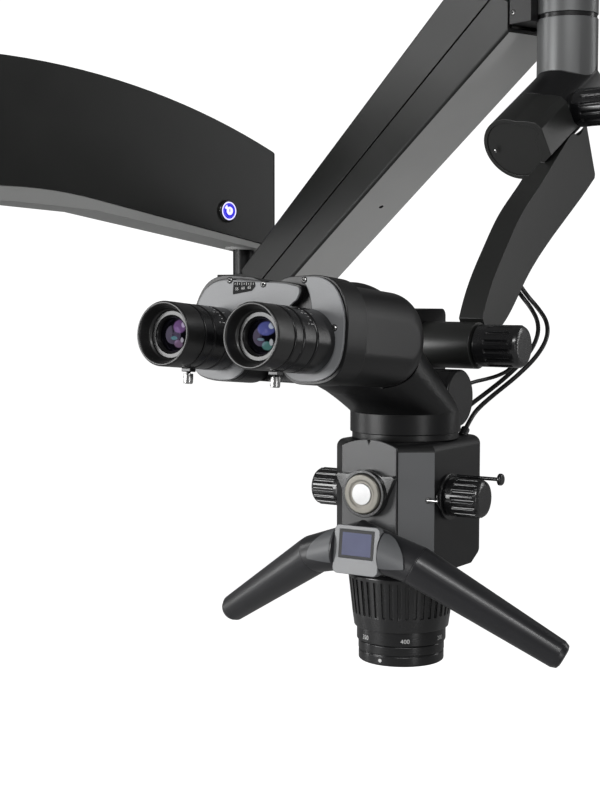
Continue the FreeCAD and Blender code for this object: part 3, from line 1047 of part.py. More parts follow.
glass = block(Vector(-SCREEN_HALF + 0.1, SCREEN_UP + 0.1, -1.6), Vector(SCREEN_HALF - 0.1, SCREEN_UP + SCREEN_HEIGHT - 0.1, -0.2))
pod = pod.cut(screen_room)
pod.Placement = pod_frame
glass.Placement = pod_frame
pod_stub = block(Vector(-POD_HALF + 3, 4, -POD_THICK - 16), Vector(POD_HALF - 3, POD_HEIGHT - 5, -POD_THICK))
pod_stub.Placement = pod_frame
pod_room = block(Vector(-POD_HALF, 0, -POD_THICK), Vector(POD_HALF, POD_HEIGHT, 40))
hub = joined(hub, pod_stub.cut([body_solid, panel_room, ring_room])).cut(placed(pod_room, pod_frame))
nodes["handle_hub"] = hub
nodes["display_bezel"] = pod
nodes["display_glass"] = glass
for side, name in ((1, "right"), (-1, "left")):
    start = handle_point(side, HANDLE_START)
    length = (HANDLE_TIP - HANDLE_START) / abs(handle_dir[side].x)
    grip_profile = [(0, 0), (HANDLE_START_RADIUS, 0), (HANDLE_START_RADIUS, 6), (HANDLE_TIP_RADIUS + 0.4, length - 5),
                    (HANDLE_TIP_RADIUS - 1.2, length - 1), (HANDLE_TIP_RADIUS - 4, length), (0, length)]
    nodes["handle_" + name] = at(turned(grip_profile), start, handle_dir[side])


# Leads: straight runs joined by tangent arcs, as large as the runs allow
def lead(points, radius):
    points = [Vector(*point) for point in points]
    edges = []
    radii = []
    last = points[0]
    for index in range(1, len(points) - 1):
        before = points[index].sub(points[index - 1])
        after = points[index + 1].sub(points[index])
        trim = ARC_SHARE * min(before.Length, after.Length)
        turn_angle = before.getAngle(after)
        radii.append(trim / math.tan(turn_angle / 2))
        enter = points[index].sub(Vector(before).normalize() * trim)
        leave = points[index].add(Vector(after).normalize() * trim)
        bisector = Vector(after).normalize().sub(Vector(before).normalize()).normalize()
        sag = radii[-1] * (1 / math.cos(turn_angle / 2) - 1)
        middle = points[index].add(bisector * sag)
        edges.append(Part.LineSegment(last, enter).toShape())
        edges.append(Part.Arc(enter, middle, leave).toShape())
        last = leave
    edges.append(Part.LineSegment(last, points[-1]).toShape())
    wire = Part.Wire(edges)
    start_direction = points[1].sub(points[0])
    profile = Part.Wire(Part.makeCircle(radius, points[0], start_direction))
    solid = wire.makePipeShell([profile], True, False)
    print("lead length", round(wire.Length, 1), "volume ratio",
          round(solid.Volume / (math.pi * radius ** 2 * wire.Length), 4), "radii", [round(r, 1) for r in radii])
    return solid


OUTER_ROUTE = [(27, 145, 281), (31, 151, 272), (41, 151, 262), (52, 145, 251), (58, 132, 238), (55, 116, 223),
               (45, 100, 208), (34, 84, 195), (28, 69, 185), (28, 57, 178), (28, 49, 171)]
INNER_ROUTE = [(20, 147, 282), (24, 153, 273), (34, 153, 262), (44, 146, 250), (49, 132, 237), (46, 116, 222),
               (37, 100, 208), (27, 85, 196), (20, 70, 187), (18, 58, 180), (18, 49.5, 171)]
SHORT_ROUTE = [(36, 84, 241), (44, 84, 240), (52, 84, 234), (55, 82, 225), (51, 79, 216), (43, 75, 211),
               (34, 70, 208), (26, 65, 206), (20, 60.5, 203)]

lead_glands = {}
for name, route, radius in (("outer", OUTER_ROUTE, LEAD_RADIUS), ("inner", INNER_ROUTE, LEAD_RADIUS),
                            ("short", SHORT_ROUTE, SHORT_LEAD_RADIUS)):
    nodes["lead_" + name] = lead(route, radius)
    first, second, last_but_one, end = [Vector(*route[index]) for index in (0, 1, -2, -1)]
    leaving = second.sub(first).normalize()
    entering = end.sub(last_but_one).normalize()
    out_gland = rod(first.sub(leaving * GLAND_LENGTH), leaving, radius + GLAND_WALL, GLAND_LENGTH)
    in_gland = rod(end, entering, radius + GLAND_WALL, GLAND_LENGTH)
    lead_glands[name] = (out_gland, in_gland)
nodes["bent_arm"] = joined(nodes["bent_arm"], *[lead_glands[name][0] for name in lead_glands])
nodes["body_shell"] = joined(nodes["body_shell"], lead_glands["outer"][1], lead_glands["inner"][1])
nodes["carrier"] = joined(nodes["carrier"], lead_glands["short"][1])

print("node count", len(nodes))
os.makedirs("parts", exist_ok=True)
for name, shape in nodes.items():
    shape = shape.copy()
    shape.translate(COLUMN_FOOT * -1)
    valid = shape.isValid()
    if not valid or len(shape.Solids) < 1:
        print("check", name, valid, len(shape.Solids))
    shape.exportStep("parts/" + name + ".step")
    print(name, len(shape.Solids), round(shape.Volume / 1000, 2))
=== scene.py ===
# %% [markdown]
# # A surgical microscope on its balanced arm
# A dentist or surgeon looks through two eyepieces at a lens that hangs over the patient. Arms with a spring
# hold the weight, so the head stays where it is put. Nearly all of it is black, so the picture lives on small
# differences: powder coat, satin paint, anodised metal, rubber and soft plastic. We load the machine's solids
# first, then give each one the finish of the real part, and add the small things that a solid leaves out.

# %% Load the frame
import json
import math

import bmesh
import bpy
from mathutils import Matrix, Vector
from mathutils.bvhtree import BVHTree


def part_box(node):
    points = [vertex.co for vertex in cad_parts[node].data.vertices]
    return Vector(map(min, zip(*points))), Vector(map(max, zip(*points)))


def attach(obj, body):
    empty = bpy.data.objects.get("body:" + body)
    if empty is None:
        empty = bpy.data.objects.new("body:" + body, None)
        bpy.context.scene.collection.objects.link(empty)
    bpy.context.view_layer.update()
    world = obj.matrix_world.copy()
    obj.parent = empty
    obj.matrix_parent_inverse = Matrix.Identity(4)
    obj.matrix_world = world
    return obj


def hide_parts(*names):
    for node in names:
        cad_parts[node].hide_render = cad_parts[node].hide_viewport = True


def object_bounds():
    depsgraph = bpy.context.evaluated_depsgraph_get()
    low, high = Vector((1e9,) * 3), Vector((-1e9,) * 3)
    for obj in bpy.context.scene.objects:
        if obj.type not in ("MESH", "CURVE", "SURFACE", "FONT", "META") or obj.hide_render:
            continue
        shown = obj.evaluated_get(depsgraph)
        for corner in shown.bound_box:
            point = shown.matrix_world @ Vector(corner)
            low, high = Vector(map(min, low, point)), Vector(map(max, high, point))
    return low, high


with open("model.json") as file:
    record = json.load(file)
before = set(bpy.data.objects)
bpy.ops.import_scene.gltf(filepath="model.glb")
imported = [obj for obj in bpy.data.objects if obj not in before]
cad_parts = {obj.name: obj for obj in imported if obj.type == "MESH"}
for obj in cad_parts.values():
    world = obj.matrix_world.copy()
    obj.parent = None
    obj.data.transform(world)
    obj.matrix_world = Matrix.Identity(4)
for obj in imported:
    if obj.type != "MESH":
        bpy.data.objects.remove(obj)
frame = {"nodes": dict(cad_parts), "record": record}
solid_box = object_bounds()

# %% [markdown]
# Sizes on a microscope are easiest to think of from the front lens: the optical axis is the middle of
# everything. So we write places in millimetres from the lens, and one helper turns them into the frame's
# metres, whose origin is the foot of the column.

# %% Millimetres from the lens to metres in the frame
COLUMN_FOOT = Vector((-595.4, -110.2, 270.0))


def spot(x, y, z):
    """A place given from the lens, in the frame's metres."""
    return (Vector((x, y, z)) - COLUMN_FOOT) / 1000


def mm(length):
    return length / 1000


# %% [markdown]
# The photograph was taken from the operator's right and slightly above. The camera is set first, because
# every later choice is judged through it. Its place and lens were worked out from the rings of the lens, the
# edges of the body and the two eyepieces.

# %% Camera
SENSOR_WIDTH = 36
FOCAL_LENGTH = 67.88
CAMERA_PLACE = (551.64, -982.25, 281.79)
lens = bpy.data.cameras.new("photo_camera")
camera = bpy.data.objects.new("photo_camera", lens)
bpy.context.scene.collection.objects.link(camera)
bpy.context.scene.camera = camera
lens.sensor_width = SENSOR_WIDTH
lens.sensor_fit = "AUTO"
lens.lens = FOCAL_LENGTH
across = Vector((0.83663, 0.54776, 0))
upward = Vector((-0.04213, 0.06435, 0.99704))
backward = Vector((0.54614, -0.83415, 0.07692))
turned = Matrix((across, upward, backward)).transposed().to_4x4()
camera.matrix_world = Matrix.Translation(spot(*CAMERA_PLACE)) @ turned
print("camera at", [round(part, 3) for part in camera.location])

# %% [markdown]
# Three thin black leads cross from the bent arm to the head. They must stay slack when the head tilts, so
# each one leaves its gland straight, swings out in a loose bow and comes back to the body. A NURBS curve
# gives a cable its even bend from a few points, where a chain of straight runs would look like wire.

# %% Leads
lead_routes = {
    "lead_outer": [(27, 145, 281), (31, 151, 272), (41, 151, 262), (52, 145, 251), (58, 132, 238),
                   (55, 116, 223), (45, 100, 208), (34, 84, 195), (28, 69, 185), (28, 57, 178),
                   (28, 49, 171)],
    "lead_inner": [(20, 147, 282), (24, 153, 273), (34, 153, 262), (44, 146, 250), (49, 132, 237),
                   (46, 116, 222), (37, 100, 208), (27, 85, 196), (20, 70, 187), (18, 58, 180),
                   (18, 49.5, 171)],
    "lead_short": [(36, 84, 241), (44, 84, 240), (52, 84, 234), (55, 82, 225), (51, 79, 216), (43, 75, 211),
                   (34, 70, 208), (26, 65, 206), (20, 60.5, 203)],
}
# Length and diameter in metres
lead_sizes = {"lead_outer": (0.1734, 0.0036), "lead_inner": (0.174, 0.0036), "lead_short": (0.0756, 0.003)}
leads = {}
for name, route in lead_routes.items():
    length, diameter = lead_sizes[name]
    curve = bpy.data.curves.new(name + "_cable", "CURVE")
    curve.dimensions = "3D"
    curve.bevel_depth = diameter / 2
    curve.bevel_resolution = 4
    curve.resolution_u = 16
    spline = curve.splines.new("NURBS")
    spline.points.add(len(route) - 1)
    for point, place in zip(spline.points, route):
        point.co = (*spot(*place), 1)
    spline.order_u = 3
    spline.use_endpoint_u = True
    cable = bpy.data.objects.new(name + "_cable", curve)
    bpy.context.scene.collection.objects.link(cable)
    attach(cable, "carrier_arm")
    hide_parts(name)
    leads[name] = cable
    print(name, "length", length)

# %% [markdown]
# A finish is a little sum: grain plus cloud times strength. Written as Python it reads like one. This small
# class wraps a node's output, and its operators add the Math nodes. Colours don't go through Math, which
# would turn them grey, so mixing two colours has its own method.

# %% Shader maths


class Wire:
    """One output in a material's node tree, for Python's own operators."""

    def __init__(self, tree, socket=None):
        self.tree = tree
        self.socket = socket

    def node(self, kind, settings=None, values=None, output=0):
        """Adds a node, sets it up, fills its sockets with numbers or wires, and returns one output."""
        made = self.tree.nodes.new(kind)
        for name, value in (settings or {}).items():
            setattr(made, name, value)
        for name, value in (values or {}).items():
            if isinstance(value, Wire):
                self.tree.links.new(value.socket, made.inputs[name])
            else:
                made.inputs[name].default_value = value
        return Wire(self.tree, made.outputs[output])

    def sum(self, operation, first, second):
        return self.node("ShaderNodeMath", {"operation": operation}, {0: first, 1: second})

    def vector(self, operation, other=None, output=0):
        """Vector maths with this wire first; output 1 is the number that a length or a product gives."""
        values = {0: self} if other is None else {0: self, 1: other}
        return self.node("ShaderNodeVectorMath", {"operation": operation}, values, output)

    def __add__(self, other):
        return self.sum("ADD", self, other)

    def __radd__(self, other):
        return self.sum("ADD", other, self)

    def __sub__(self, other):
        return self.sum("SUBTRACT", self, other)

    def __rsub__(self, other):
        return self.sum("SUBTRACT", other, self)

    def __mul__(self, other):
        return self.sum("MULTIPLY", self, other)

    def __truediv__(self, other):
        return self.sum("DIVIDE", self, other)

    def __gt__(self, other):
        return self.sum("GREATER_THAN", self, other)

    def __lt__(self, other):
        return self.sum("LESS_THAN", self, other)

    def blend_colours(self, first, second):
        """The first colour where this wire is 0, the second where it is 1; sockets 6 and 7 take them."""
        ends = {"Factor": self, 6: opaque(first), 7: opaque(second)}
        return self.node("ShaderNodeMix", {"data_type": "RGBA"}, ends, output=2)

    def grain(self, size, detail=3.0, roughness=0.5):
        """Noise at this place, with features about that many millimetres across, from 0 to 1."""
        values = {"Vector": self, "Scale": 1 / size, "Detail": detail, "Roughness": roughness}
        return self.node("ShaderNodeTexNoise", None, values)

    def stretched(self, x, y, z):
        return self.vector("MULTIPLY", (x, y, z))

    def part(self, axis):
        return self.node("ShaderNodeSeparateXYZ", None, {0: self}, output=axis)

    def bump(self, depth):
        """A normal that stands this many millimetres proud where the wire is 1."""
        return self.node("ShaderNodeBump", None, {"Height": self, "Distance": mm(depth), "Strength": 1.0})


def opaque(colour):
    return colour if isinstance(colour, Wire) else (*colour, 1)


# %% [markdown]
# Each finish starts the same way: a new material, the place on the object in millimetres, and the shader.
# The place comes from the object's own coordinates, so the grain sticks to the part when it moves.

# %% Start a finish


def new_finish(name, fixed=None):
    """A material, the wire with the place on the part in millimetres, and a function that plugs values in."""
    material = bpy.data.materials.new(name)
    material.use_nodes = True
    tree = material.node_tree
    shader = tree.nodes["Principled BSDF"]
    for socket, value in (fixed or {}).items():
        shader.inputs[socket].default_value = value
    place = Wire(tree).node("ShaderNodeTexCoord", output="Object")
    place = place.node("ShaderNodeVectorMath", {"operation": "SCALE"}, {0: place, "Scale": 1000.0})

    def plug(**wires):
        for socket, wire in wires.items():
            tree.links.new(wire.socket, shader.inputs[socket.replace("_", " ")])

    return material, place, plug


# %% [markdown]
# The castings wear a fine powder coat. Close up it is a skin of tiny soft bumps, and from further off the
# black has slow clouds in it, a little greyer where hands and cloths rub. Three noises do this: one at a
# third of a millimetre for the bump, a coarser one for specks, and one at some centimetres for the clouds.

# %% Powder coat and satin paint
CLOUD_SIZE = 55.0
SPECK_TO_GRAIN = 2.6


def coated(name, dark, light, rough, grain_size, depth, specular=0.5):
    """Paint from a dark to a light colour, with a bumpy skin; sizes in millimetres."""
    material, place, plug = new_finish(name, {"IOR": 1.5, "Specular IOR Level": specular})
    skin = place.grain(grain_size, 4.0, 0.6)
    cloud = place.grain(CLOUD_SIZE, 2.0)
    speck = place.grain(grain_size * SPECK_TO_GRAIN, 2.0)
    shade = cloud * 0.6 + speck * 0.4
    plug(Base_Color=shade.blend_colours(dark, light), Roughness=rough - 0.06 + cloud * 0.08 + skin * 0.05,
         Normal=skin.bump(depth))
    return material


# Each row: darkest and lightest colour, roughness, grain, bump depth, and a specular level where it isn't 0.5
coats = {
    "arm_black": ((0.01, 0.0105, 0.01), (0.019, 0.0195, 0.0185), 0.38, 0.35, 0.012),
    "underside_grey": ((0.33, 0.333, 0.328), (0.42, 0.424, 0.418), 0.5, 0.4, 0.01),
    # Painted light: the lighter grey of the lower cover's underside, where light from below falls
    "cover_painted_light": ((0.56, 0.562, 0.555), (0.66, 0.662, 0.655), 0.5, 0.4, 0.01),
    "window_black": ((0.004, 0.004, 0.0045), (0.008, 0.008, 0.0085), 0.85, 0.4, 0.006),
    "head_black": ((0.004, 0.004, 0.0044), (0.0085, 0.0085, 0.009), 0.35, 0.3, 0.014, 0.36),
    "plate_grey": ((0.17, 0.174, 0.18), (0.25, 0.254, 0.262), 0.42, 0.22, 0.012),
    "panel_grey": ((0.05, 0.051, 0.052), (0.072, 0.073, 0.075), 0.38, 0.22, 0.01),
    "inlay_grey": ((0.078, 0.081, 0.085), (0.11, 0.113, 0.118), 0.4, 0.22, 0.01),
    "bezel_grey": ((0.135, 0.139, 0.145), (0.18, 0.184, 0.19), 0.36, 0.2, 0.006),
}
finishes = {name: coated(name, *values) for name, values in coats.items()}

# %% [markdown]
# The spindle is the one part in two finishes: the upright tube is bare satin grey, and the joint that leans
# out of it is black. Each point asks how far it is from the tube's axis and from the leaning joint's axis.
# The tube's upper end, above the black ring, belongs to the arm's end block, which asks for the tube alone.

# %% Two finishes on the spindle
SPINDLE_AXIS = (11.9, 270.7)
JOINT_PLACE = (11.9, 270.7, 448.5)
JOINT_AXIS = (-0.1516, -0.8101, -0.5664)
TUBE_REACH = 27.1
JOINT_REACH = 29.6


def two_tone(name, beside_joint):
    """Grey on the spindle's tube and black elsewhere; beside_joint keeps the leaning joint black too."""
    material, place, plug = new_finish(name, {"IOR": 1.5, "Specular IOR Level": 0.4})
    tube_x, tube_y = (spot(*SPINDLE_AXIS, 0) * 1000)[:2]
    bare = place.stretched(1, 1, 0).vector("DISTANCE", (tube_x, tube_y, 0), 1) < TUBE_REACH
    if beside_joint:
        offset = place.vector("SUBTRACT", tuple(spot(*JOINT_PLACE) * 1000))
        bare = bare * (offset.vector("CROSS_PRODUCT", JOINT_AXIS).vector("LENGTH", output=1) > JOINT_REACH)
    skin_grain = place.grain(0.3, 4.0, 0.6)
    cloud = place.grain(CLOUD_SIZE, 2.0)
    black = cloud.blend_colours((0.004, 0.004, 0.0045), (0.009, 0.009, 0.0095))
    grey = (cloud * 0.5 + skin_grain * 0.5).blend_colours((0.1, 0.103, 0.104), (0.18, 0.183, 0.184))
    plug(Base_Color=bare.blend_colours(black, grey), Metallic=bare * 0.4, Roughness=0.33 + skin_grain * 0.06,
         Normal=skin_grain.bump(0.009))
    return material


finishes["spindle_two_tone"] = two_tone("spindle_two_tone", True)
finishes["end_block_two_tone"] = two_tone("end_block_two_tone", False)
print("coats", len(finishes))

# %% [markdown]
# The clutch knobs and the winged ring are moulded plastic with a clear gloss, the grips are coated so that
# they feel like skin, and the eyecups are rubber. Plastic gets a weak clear coat over faint flow marks. Soft
# coats scatter the light at a low angle, which sheen gives.

# %% Plastic, rubber and soft grip


def moulded(name, colour, rough, coat, sheen=0.0, grain_size=0.5, depth=0.006):
    """Plastic or rubber of one dark colour, with faint flow marks."""
    fixed = {"Coat Weight": coat, "Coat Roughness": 0.16, "Sheen Weight": sheen, "Sheen Roughness": 0.4}
    material, place, plug = new_finish(name, fixed)
    flow = place.grain(18.0, 3.0)
    skin = place.grain(grain_size, 3.0)
    lighter = tuple(part * 1.7 + 0.002 for part in colour)
    plug(Base_Color=(flow * 0.7 + skin * 0.3).blend_colours(colour, lighter),
         Roughness=rough - 0.05 + flow * 0.07 + skin * 0.04, Normal=skin.bump(depth))
    return material


finishes["knob_black"] = moulded("knob_black", (0.005, 0.005, 0.0055), 0.26, 0.45)
finishes["grip_black"] = moulded("grip_black", (0.01, 0.01, 0.0115), 0.34, 0.1, sheen=0.06, grain_size=0.28,
                                 depth=0.01)
finishes["cup_rubber"] = moulded("cup_rubber", (0.005, 0.005, 0.005), 0.4, 0.1, sheen=0.04, grain_size=0.4)
finishes["lead_black"] = moulded("lead_black", (0.006, 0.006, 0.006), 0.36, 0.1, grain_size=0.8)
print("plastics", len(finishes))

# %% [markdown]
# Lens barrels are turned on a lathe and anodised. The tool leaves rings too fine to count, so the gloss
# stretches round the barrel. Noise that is squeezed along the turning axis and drawn out across it gives the
# rings. The lens points down and the eyepieces point forward, so each gets its own squeeze.

# %% Turned and anodised metal


BARREL_COLOUR = (0.005, 0.005, 0.0055)
BARREL_WORN = (0.012, 0.012, 0.013)


def anodised(name, squeeze, colour=BARREL_COLOUR, lighter=BARREL_WORN, metallic=0.2, rough=0.25):
    """Turned metal; squeeze is how many noise features fit in a millimetre along x, y and z."""
    material, place, plug = new_finish(name, {"Metallic": metallic})
    rings = place.stretched(*squeeze).grain(1.0, 4.0, 0.65)
    cloud = place.grain(30.0, 2.0)
    plug(Base_Color=(rings * 0.5 + cloud * 0.5).blend_colours(colour, lighter),
         Roughness=rough - 0.03 + rings * 0.07, Normal=rings.bump(0.0012))
    return material


# Each row: squeeze, darkest and lightest colour, how metallic, and a roughness where it isn't 0.25
metals = {
    "barrel_black": ((0.05, 0.05, 3.0), (0.01, 0.01, 0.0105), (0.02, 0.02, 0.021)),
    "eyepiece_black": ((0.05, 3.0, 0.05),),
    "turned_disc": ((0.4, 0.05, 0.4), (0.12, 0.115, 0.1), (0.18, 0.17, 0.15), 0.6, 0.34),
    "pale_disc": ((0.3, 0.05, 0.3), (0.3, 0.3, 0.3), (0.42, 0.42, 0.42), 0.85, 0.34),
    "steel": ((2.0, 0.4, 2.0), (0.5, 0.5, 0.5), (0.68, 0.68, 0.67), 1.0, 0.28),
    "dark_steel": ((1.0, 1.0, 1.0), (0.03, 0.03, 0.031), (0.06, 0.06, 0.062), 0.7),
}
for name, values in metals.items():
    finishes[name] = anodised(name, *values)
print("metals", len(finishes))

# %% [markdown]
# White figures on the rings are filled engraving: matt paint, a touch grey. A shallow noise keeps them from
# looking printed on glass.

# %% Engraving paint
paint, place, plug = new_finish("engraving_white")
chalk = place.grain(0.4, 2.0)
plug(Base_Color=chalk.blend_colours((0.5, 0.5, 0.5), (0.72, 0.72, 0.71)), Roughness=0.55 + chalk * 0.15)
finishes["engraving_white"] = paint

# %% [markdown]
# Coated glass is black with the room in it. The tube behind an eyepiece is dark, so a deep, mirror-smooth
# body stands for glass and darkness together. A curved lens gathers the windows and lamps of a whole room
# into a few small patches, tinted violet, blue or sea green by its coating; here these reflections are
# painted into the glass's colour, as soft ovals on the face of the lens, in its own two directions.

# %% Coated glass
GLINT_EDGE = 3.0


def coated_glass(name, centre, sideways, upwards, radius, glints):
    """Black glass with painted reflections; each glint is (sideways, up, half width, half height, colour), in
    lens radii.
    """
    fixed = {"IOR": 1.5, "Specular IOR Level": 0.06, "Specular Tint": (0.7, 0.55, 1.0, 1)}
    material, place, plug = new_finish(name, fixed)
    offset = place.vector("SUBTRACT", tuple(centre * 1000))
    right = offset.vector("DOT_PRODUCT", tuple(sideways), 1) / radius
    high = offset.vector("DOT_PRODUCT", tuple(upwards), 1) / radius
    colour = (0.002, 0.002, 0.003)
    # Each glint is a painted reflection: a soft oval of its tint laid into the glass's colour.
    for middle_right, middle_high, wide, tall, tint in glints:
        away_right = (right - middle_right) / wide
        away_high = (high - middle_high) / tall
        inside = 1.0 - (away_right * away_right + away_high * away_high)
        clamped = {"operation": "MULTIPLY", "use_clamp": True}
        soft = inside.node("ShaderNodeMath", clamped, {0: inside, 1: GLINT_EDGE})
        colour = soft.blend_colours(colour, tint)
    dust = place.grain(2.2, 5.0, 0.7)
    plug(Base_Color=colour, Roughness=0.03 + dust * 0.06)
    return material


# %% [markdown]
# The eyepieces lean a little from the level. All that sits on the binocular tube is easier to place in a
# frame of its own: x to the right, y up the face of the prism boxes, z out along the eyepieces.

# %% The eyepieces' own frame
EYE_PLACE = (0, -178.3, 245)
EYE_LEAN = math.radians(84.9)
EYE_OFFSET = 33.5
SIDES = ((1, "right"), (-1, "left"))
eye_frame = Matrix.Translation(spot(*EYE_PLACE)) @ Matrix.Rotation(EYE_LEAN, 4, "X")
eye_frame = eye_frame @ Matrix.Diagonal((0.001, 0.001, 0.001, 1))
eye_axis = (eye_frame.to_3x3() @ Vector((0, 0, 1))).normalized()
eye_up = (eye_frame.to_3x3() @ Vector((0, 1, 0))).normalized()
# Painted reflections on each eyepiece lens, as soft coloured ovals in the glass's colour.
eye_painted_glints = {
    "right": [(0.3, 0.45, 0.6, 0.42, (0.07, 0.08, 0.24)), (0.62, 0.62, 0.2, 0.2, (0.45, 0.5, 0.62)),
              (0.4, -0.5, 0.34, 0.26, (0.06, 0.15, 0.14)), (0.0, -0.16, 0.26, 0.09, (0.07, 0.12, 0.14)),
              (0.66, -0.3, 0.12, 0.2, (0.4, 0.42, 0.44))],
    "left": [(0.42, 0.48, 0.46, 0.42, (0.15, 0.08, 0.2)), (0.66, 0.6, 0.16, 0.2, (0.5, 0.42, 0.6)),
             (0.1, -0.2, 0.24, 0.12, (0.03, 0.13, 0.13)), (0.38, -0.52, 0.3, 0.24, (0.14, 0.09, 0.15)),
             (0.62, -0.3, 0.1, 0.16, (0.36, 0.34, 0.4))],
}
for side, name in SIDES:
    glass = "eye_glass_" + name
    glass_centre = eye_frame @ Vector((EYE_OFFSET * side, 0, 55))
    finishes[glass] = coated_glass(glass, glass_centre, (1, 0, 0), eye_up, 11.0, eye_painted_glints[name])
# Painted reflections on the front lens.
front_painted_glints = [(-0.3, 0.35, 0.4, 0.3, (0.06, 0.03, 0.1)), (0.35, -0.3, 0.3, 0.22, (0.02, 0.07, 0.06))]
finishes["lens_glass"] = coated_glass("lens_glass", spot(0, 0, 5), (1, 0, 0), (0, 1, 0), 28.0, front_painted_glints)

# %% [markdown]
# Two things give light of their own: the power button and the small screen. The button glows nearly white
# round a deep blue broken ring. The screen is asleep: navy in a black border, which a solid can't show, so it
# is worked out from how far each point is from the middle of the glass.

# %% Lit parts
SCREEN_LIT_WIDTH = 0.84
SCREEN_LIT_HEIGHT = 0.8


def lit(name, low, high, strength):
    """A glowing finish whose light is a little uneven."""
    material, place, plug = new_finish(name, {"Emission Strength": strength})
    haze = place.grain(1.6, 2.0)
    colour = haze.blend_colours(low, high)
    plug(Base_Color=colour, Roughness=0.25 + haze * 0.1, Emission_Color=colour)
    return material


finishes["button_blue"] = lit("button_blue", (0.012, 0.008, 0.4), (0.02, 0.012, 0.62), 1.0)
finishes["button_glow"] = lit("button_glow", (0.6, 0.55, 0.95), (0.8, 0.78, 1.0), 1.0)

screen, place, plug = new_finish("screen_glass", {"Emission Strength": 0.7, "Specular IOR Level": 0.08})
glass_low, glass_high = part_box("display_glass")
glass_middle = tuple((low + high) * 500 for low, high in zip(glass_low, glass_high))
glass_half = tuple((high - low) * 500 for low, high in zip(glass_low, glass_high))
reach = []
for axis in (0, 2):
    away = place.part(axis) - glass_middle[axis]
    reach.append(away.node("ShaderNodeMath", {"operation": "ABSOLUTE"}, {0: away}) / glass_half[axis])
lit_part = (reach[0] < SCREEN_LIT_WIDTH) * (reach[1] < SCREEN_LIT_HEIGHT)
glow = place.grain(14.0, 1.0)
deep = glow.blend_colours((0.028, 0.032, 0.07), (0.045, 0.05, 0.1))
seen_glass = lit_part.blend_colours((0.002, 0.002, 0.0025), deep)
plug(Base_Color=seen_glass, Emission_Color=seen_glass, Roughness=0.12 + glow * 0.08)
finishes["screen_glass"] = screen

# %% [markdown]
# Now every solid gets its finish. A solid from a CAD system has knife edges, and no real part has: they are
# broken with a file, tumbled or cast round, and the thin bright line on such an edge is what makes metal
# look real. So most solids are copied, welded and given a small bevel, and the copy stands for the solid. The
# large flats then get a stronger say in the shading, so that a bevel doesn't drag a shadow across them.

# %% Which solid wears which finish
slots_of = {entry["node"]: entry["material_slot"] for entry in frame["record"]["subparts"]}
body_of = {}
for body, members in frame["record"]["behaviour"]["bodies"].items():
    for member in members:
        body_of[member] = body
wears = {
    **slots_of,
    "eyepiece_sleeve_right": "eyepiece_black",
    "eyepiece_sleeve_left": "eyepiece_black",
    "dioptre_ring_right": "eyepiece_black",
    "dioptre_ring_left": "eyepiece_black",
    "front_cap": "turned_disc",
    "front_panel": "panel_grey",
    "elbow_post": "head_black",
    "spindle_knuckle": "spindle_two_tone",
    "end_block": "end_block_two_tone",
    "focus_ring": "knob_black",
    "filter_pull_rod": "knob_black",
    "handle_hub": "grip_black",
    "eye_lens_right": "eye_glass_right",
    "eye_lens_left": "eye_glass_left",
}

# %% Soften a solid's edges
WELD = mm(0.004)
EDGE_WIDTH = mm(0.45)
EDGE_STEPS = 2
SHARP_EDGE = math.radians(32)
SAME_FLAT = math.radians(0.6)


def add_piece(name, mesh, body, finish):
    """A finished mesh as a piece that rides on a body."""
    piece = bpy.data.objects.new(name, mesh)
    bpy.context.scene.collection.objects.link(piece)
    mesh.materials.clear()
    mesh.materials.append(finishes[finish])
    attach(piece, body)
    return piece


def soften(node):
    """A copy of the solid with its sharp edges rounded, which stands for it."""
    work = bmesh.new()
    work.from_mesh(frame["nodes"][node].data)
    bmesh.ops.remove_doubles(work, verts=work.verts, dist=WELD)
    bmesh.ops.dissolve_limit(work, angle_limit=SAME_FLAT, verts=work.verts, edges=work.edges)
    sharp = [edge for edge in work.edges if len(edge.link_faces) == 2 and edge.calc_face_angle() > SHARP_EDGE]
    bmesh.ops.bevel(work, geom=sharp, offset=EDGE_WIDTH, segments=EDGE_STEPS, profile=0.6, affect="EDGES",
                    clamp_overlap=False)
    for face in work.faces:
        face.smooth = True
    mesh = bpy.data.meshes.new(node + "_finished")
    work.to_mesh(mesh)
    work.free()
    mesh.set_sharp_from_angle(angle=math.radians(40))
    piece = add_piece(node + "_finished", mesh, body_of[node], wears[node])
    even = piece.modifiers.new("even_flats", "WEIGHTED_NORMAL")
    even.keep_sharp = True
    even.weight = 100
    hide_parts(node)


plain = {"tilt_shaft", "tie_rod", "arm_beam", "balance_spring", "magnification_drum", "focus_lens_cell",
         "objective_glass", "objective_barrel", "eye_lens_right", "eye_lens_left", "display_glass"}
softened = 0
for node, solid in frame["nodes"].items():
    if node in lead_routes:
        leads[node].data.materials.append(finishes["lead_black"])
    elif node in plain:
        solid.data.materials.clear()
        solid.data.materials.append(finishes[wears[node]])
    else:
        soften(node)
        softened += 1
print("softened", softened)

# %% [markdown]
# Two solids have painted light on one side: the arm's lower cover underneath, and the body on its cut corner
# at the right. The lit side gets a thin skin of a lighter grey, which paints in the light that falls there:
# the faces that look that way, copied and lifted a hair.

# %% Painted light on one side


